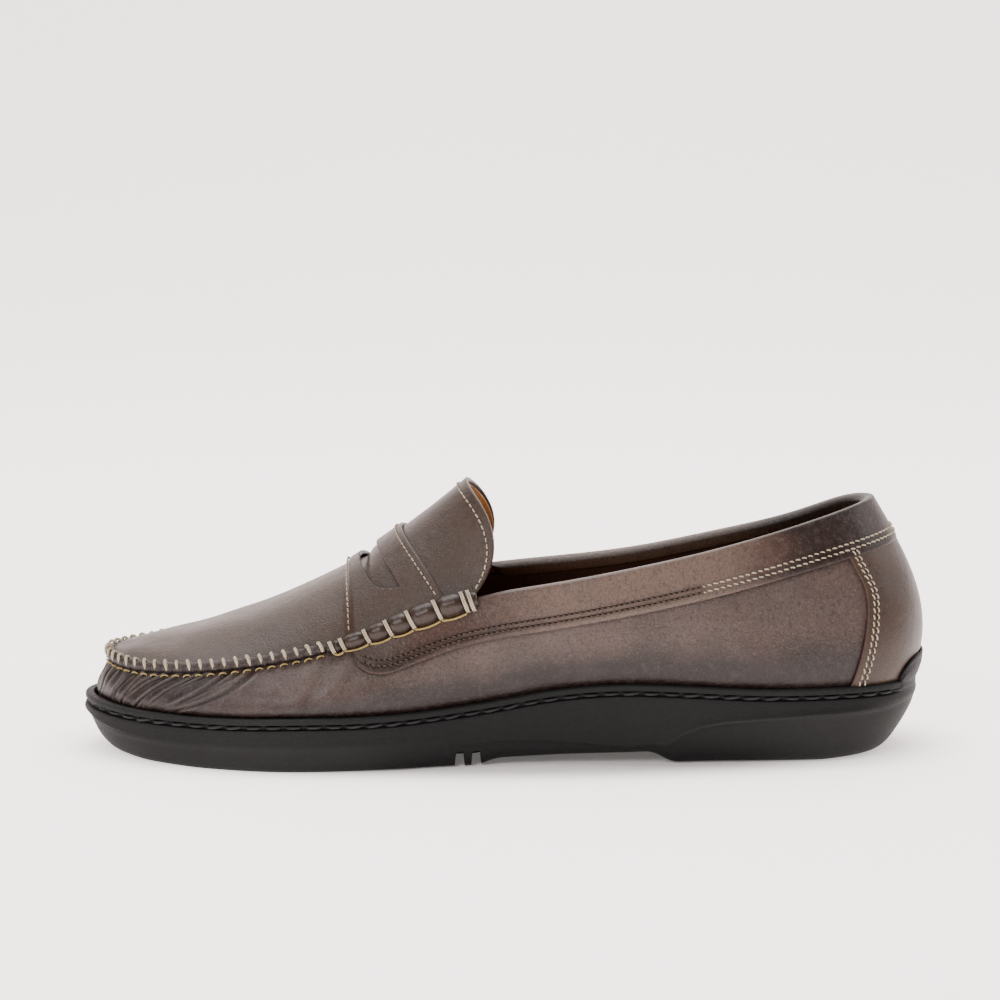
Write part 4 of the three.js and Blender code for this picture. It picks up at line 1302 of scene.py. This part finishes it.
def backdrop():
    """A seamless floor that curves up into the wall behind."""
    turns = np.linspace(0, np.pi / 2, 24)
    run = np.concatenate([[-3.0, 0.9], 0.9 + 0.9 * np.sin(turns)[1:], [1.8]])
    rise = np.concatenate([[0.0, 0.0], 0.9 - 0.9 * np.cos(turns)[1:], [4.0]])
    points = [(x, y, z) for y, z in zip(run, rise) for x in (-3.5, 3.5)]
    faces = [(2 * i, 2 * i + 1, 2 * i + 3, 2 * i + 2) for i in range(len(run) - 1)]
    mesh = bpy.data.meshes.new("backdrop")
    mesh.from_pydata(points, [], faces)
    mesh.polygons.foreach_set("use_smooth", [True] * len(faces))
    piece = placed("backdrop", mesh)
    look = Look("paper")
    cloud = look.noise(600, 2)
    look.set(Base_Color=look.mix(cloud, 0xECE4E2, 0xF0E8E6), Roughness=0.95, Specular_IOR_Level=0.1)
    flat = look.node("ShaderNodeVectorMath", {"operation": "MULTIPLY"}, {0: look.place, 1: (6.3, 17.0, 8.0)})
    near = look.node("ShaderNodeVectorMath", {"operation": "LENGTH"}, {0: flat}, "Value")
    wide = look.node("ShaderNodeVectorMath", {"operation": "LENGTH"}, {0: look.place}, "Value")
    # The paper glows; the glow is dark right round the shoe as a painted contact shadow and fades away from
    # the shoe as a painted falloff of light.
    glow = look.mix(look.between(near, 0.72, 1.12), 0x464443, 0xFFF7F3)
    look.set(Emission_Color=look.mix(look.between(wide, 0.25, 1.7), glow, 0xF0E4E2))
    look.surface.inputs["Emission Strength"].default_value = FLOOR_GLOW
    mesh.materials.append(look.material)


def softbox(name, place, aim, size, power):
    data = bpy.data.lights.new(name, "AREA")
    data.shape, data.size, data.size_y, data.energy = "RECTANGLE", size[0], size[1], power
    light = placed(name, data)
    way = np.array(aim, float) - np.array(place, float)
    tilt = math.acos(-way[2] / np.linalg.norm(way))
    light.location = place
    light.rotation_euler = (tilt, 0.0, math.atan2(way[0], -way[1]) + math.pi)


def sky():
    world = bpy.data.worlds.new("studio")
    world.use_nodes = True
    background = world.node_tree.nodes["Background"].inputs
    background["Color"].default_value = (1.0, 0.985, 0.98, 1.0)
    background["Strength"].default_value = 0.35
    bpy.context.scene.world = world


backdrop()
softbox("overhead", (-0.15, 0.25, 1.3), (0.0, 0.0, 0.0), (1.3, 0.8), 21)
softbox("front", (-0.7, -1.3, 1.0), (0.0, 0.0, 0.05), (0.9, 0.7), 19)
softbox("rear_side", (1.4, 0.0, 0.8), (0.0, 0.0, 0.05), (0.7, 0.8), 8)
sky()
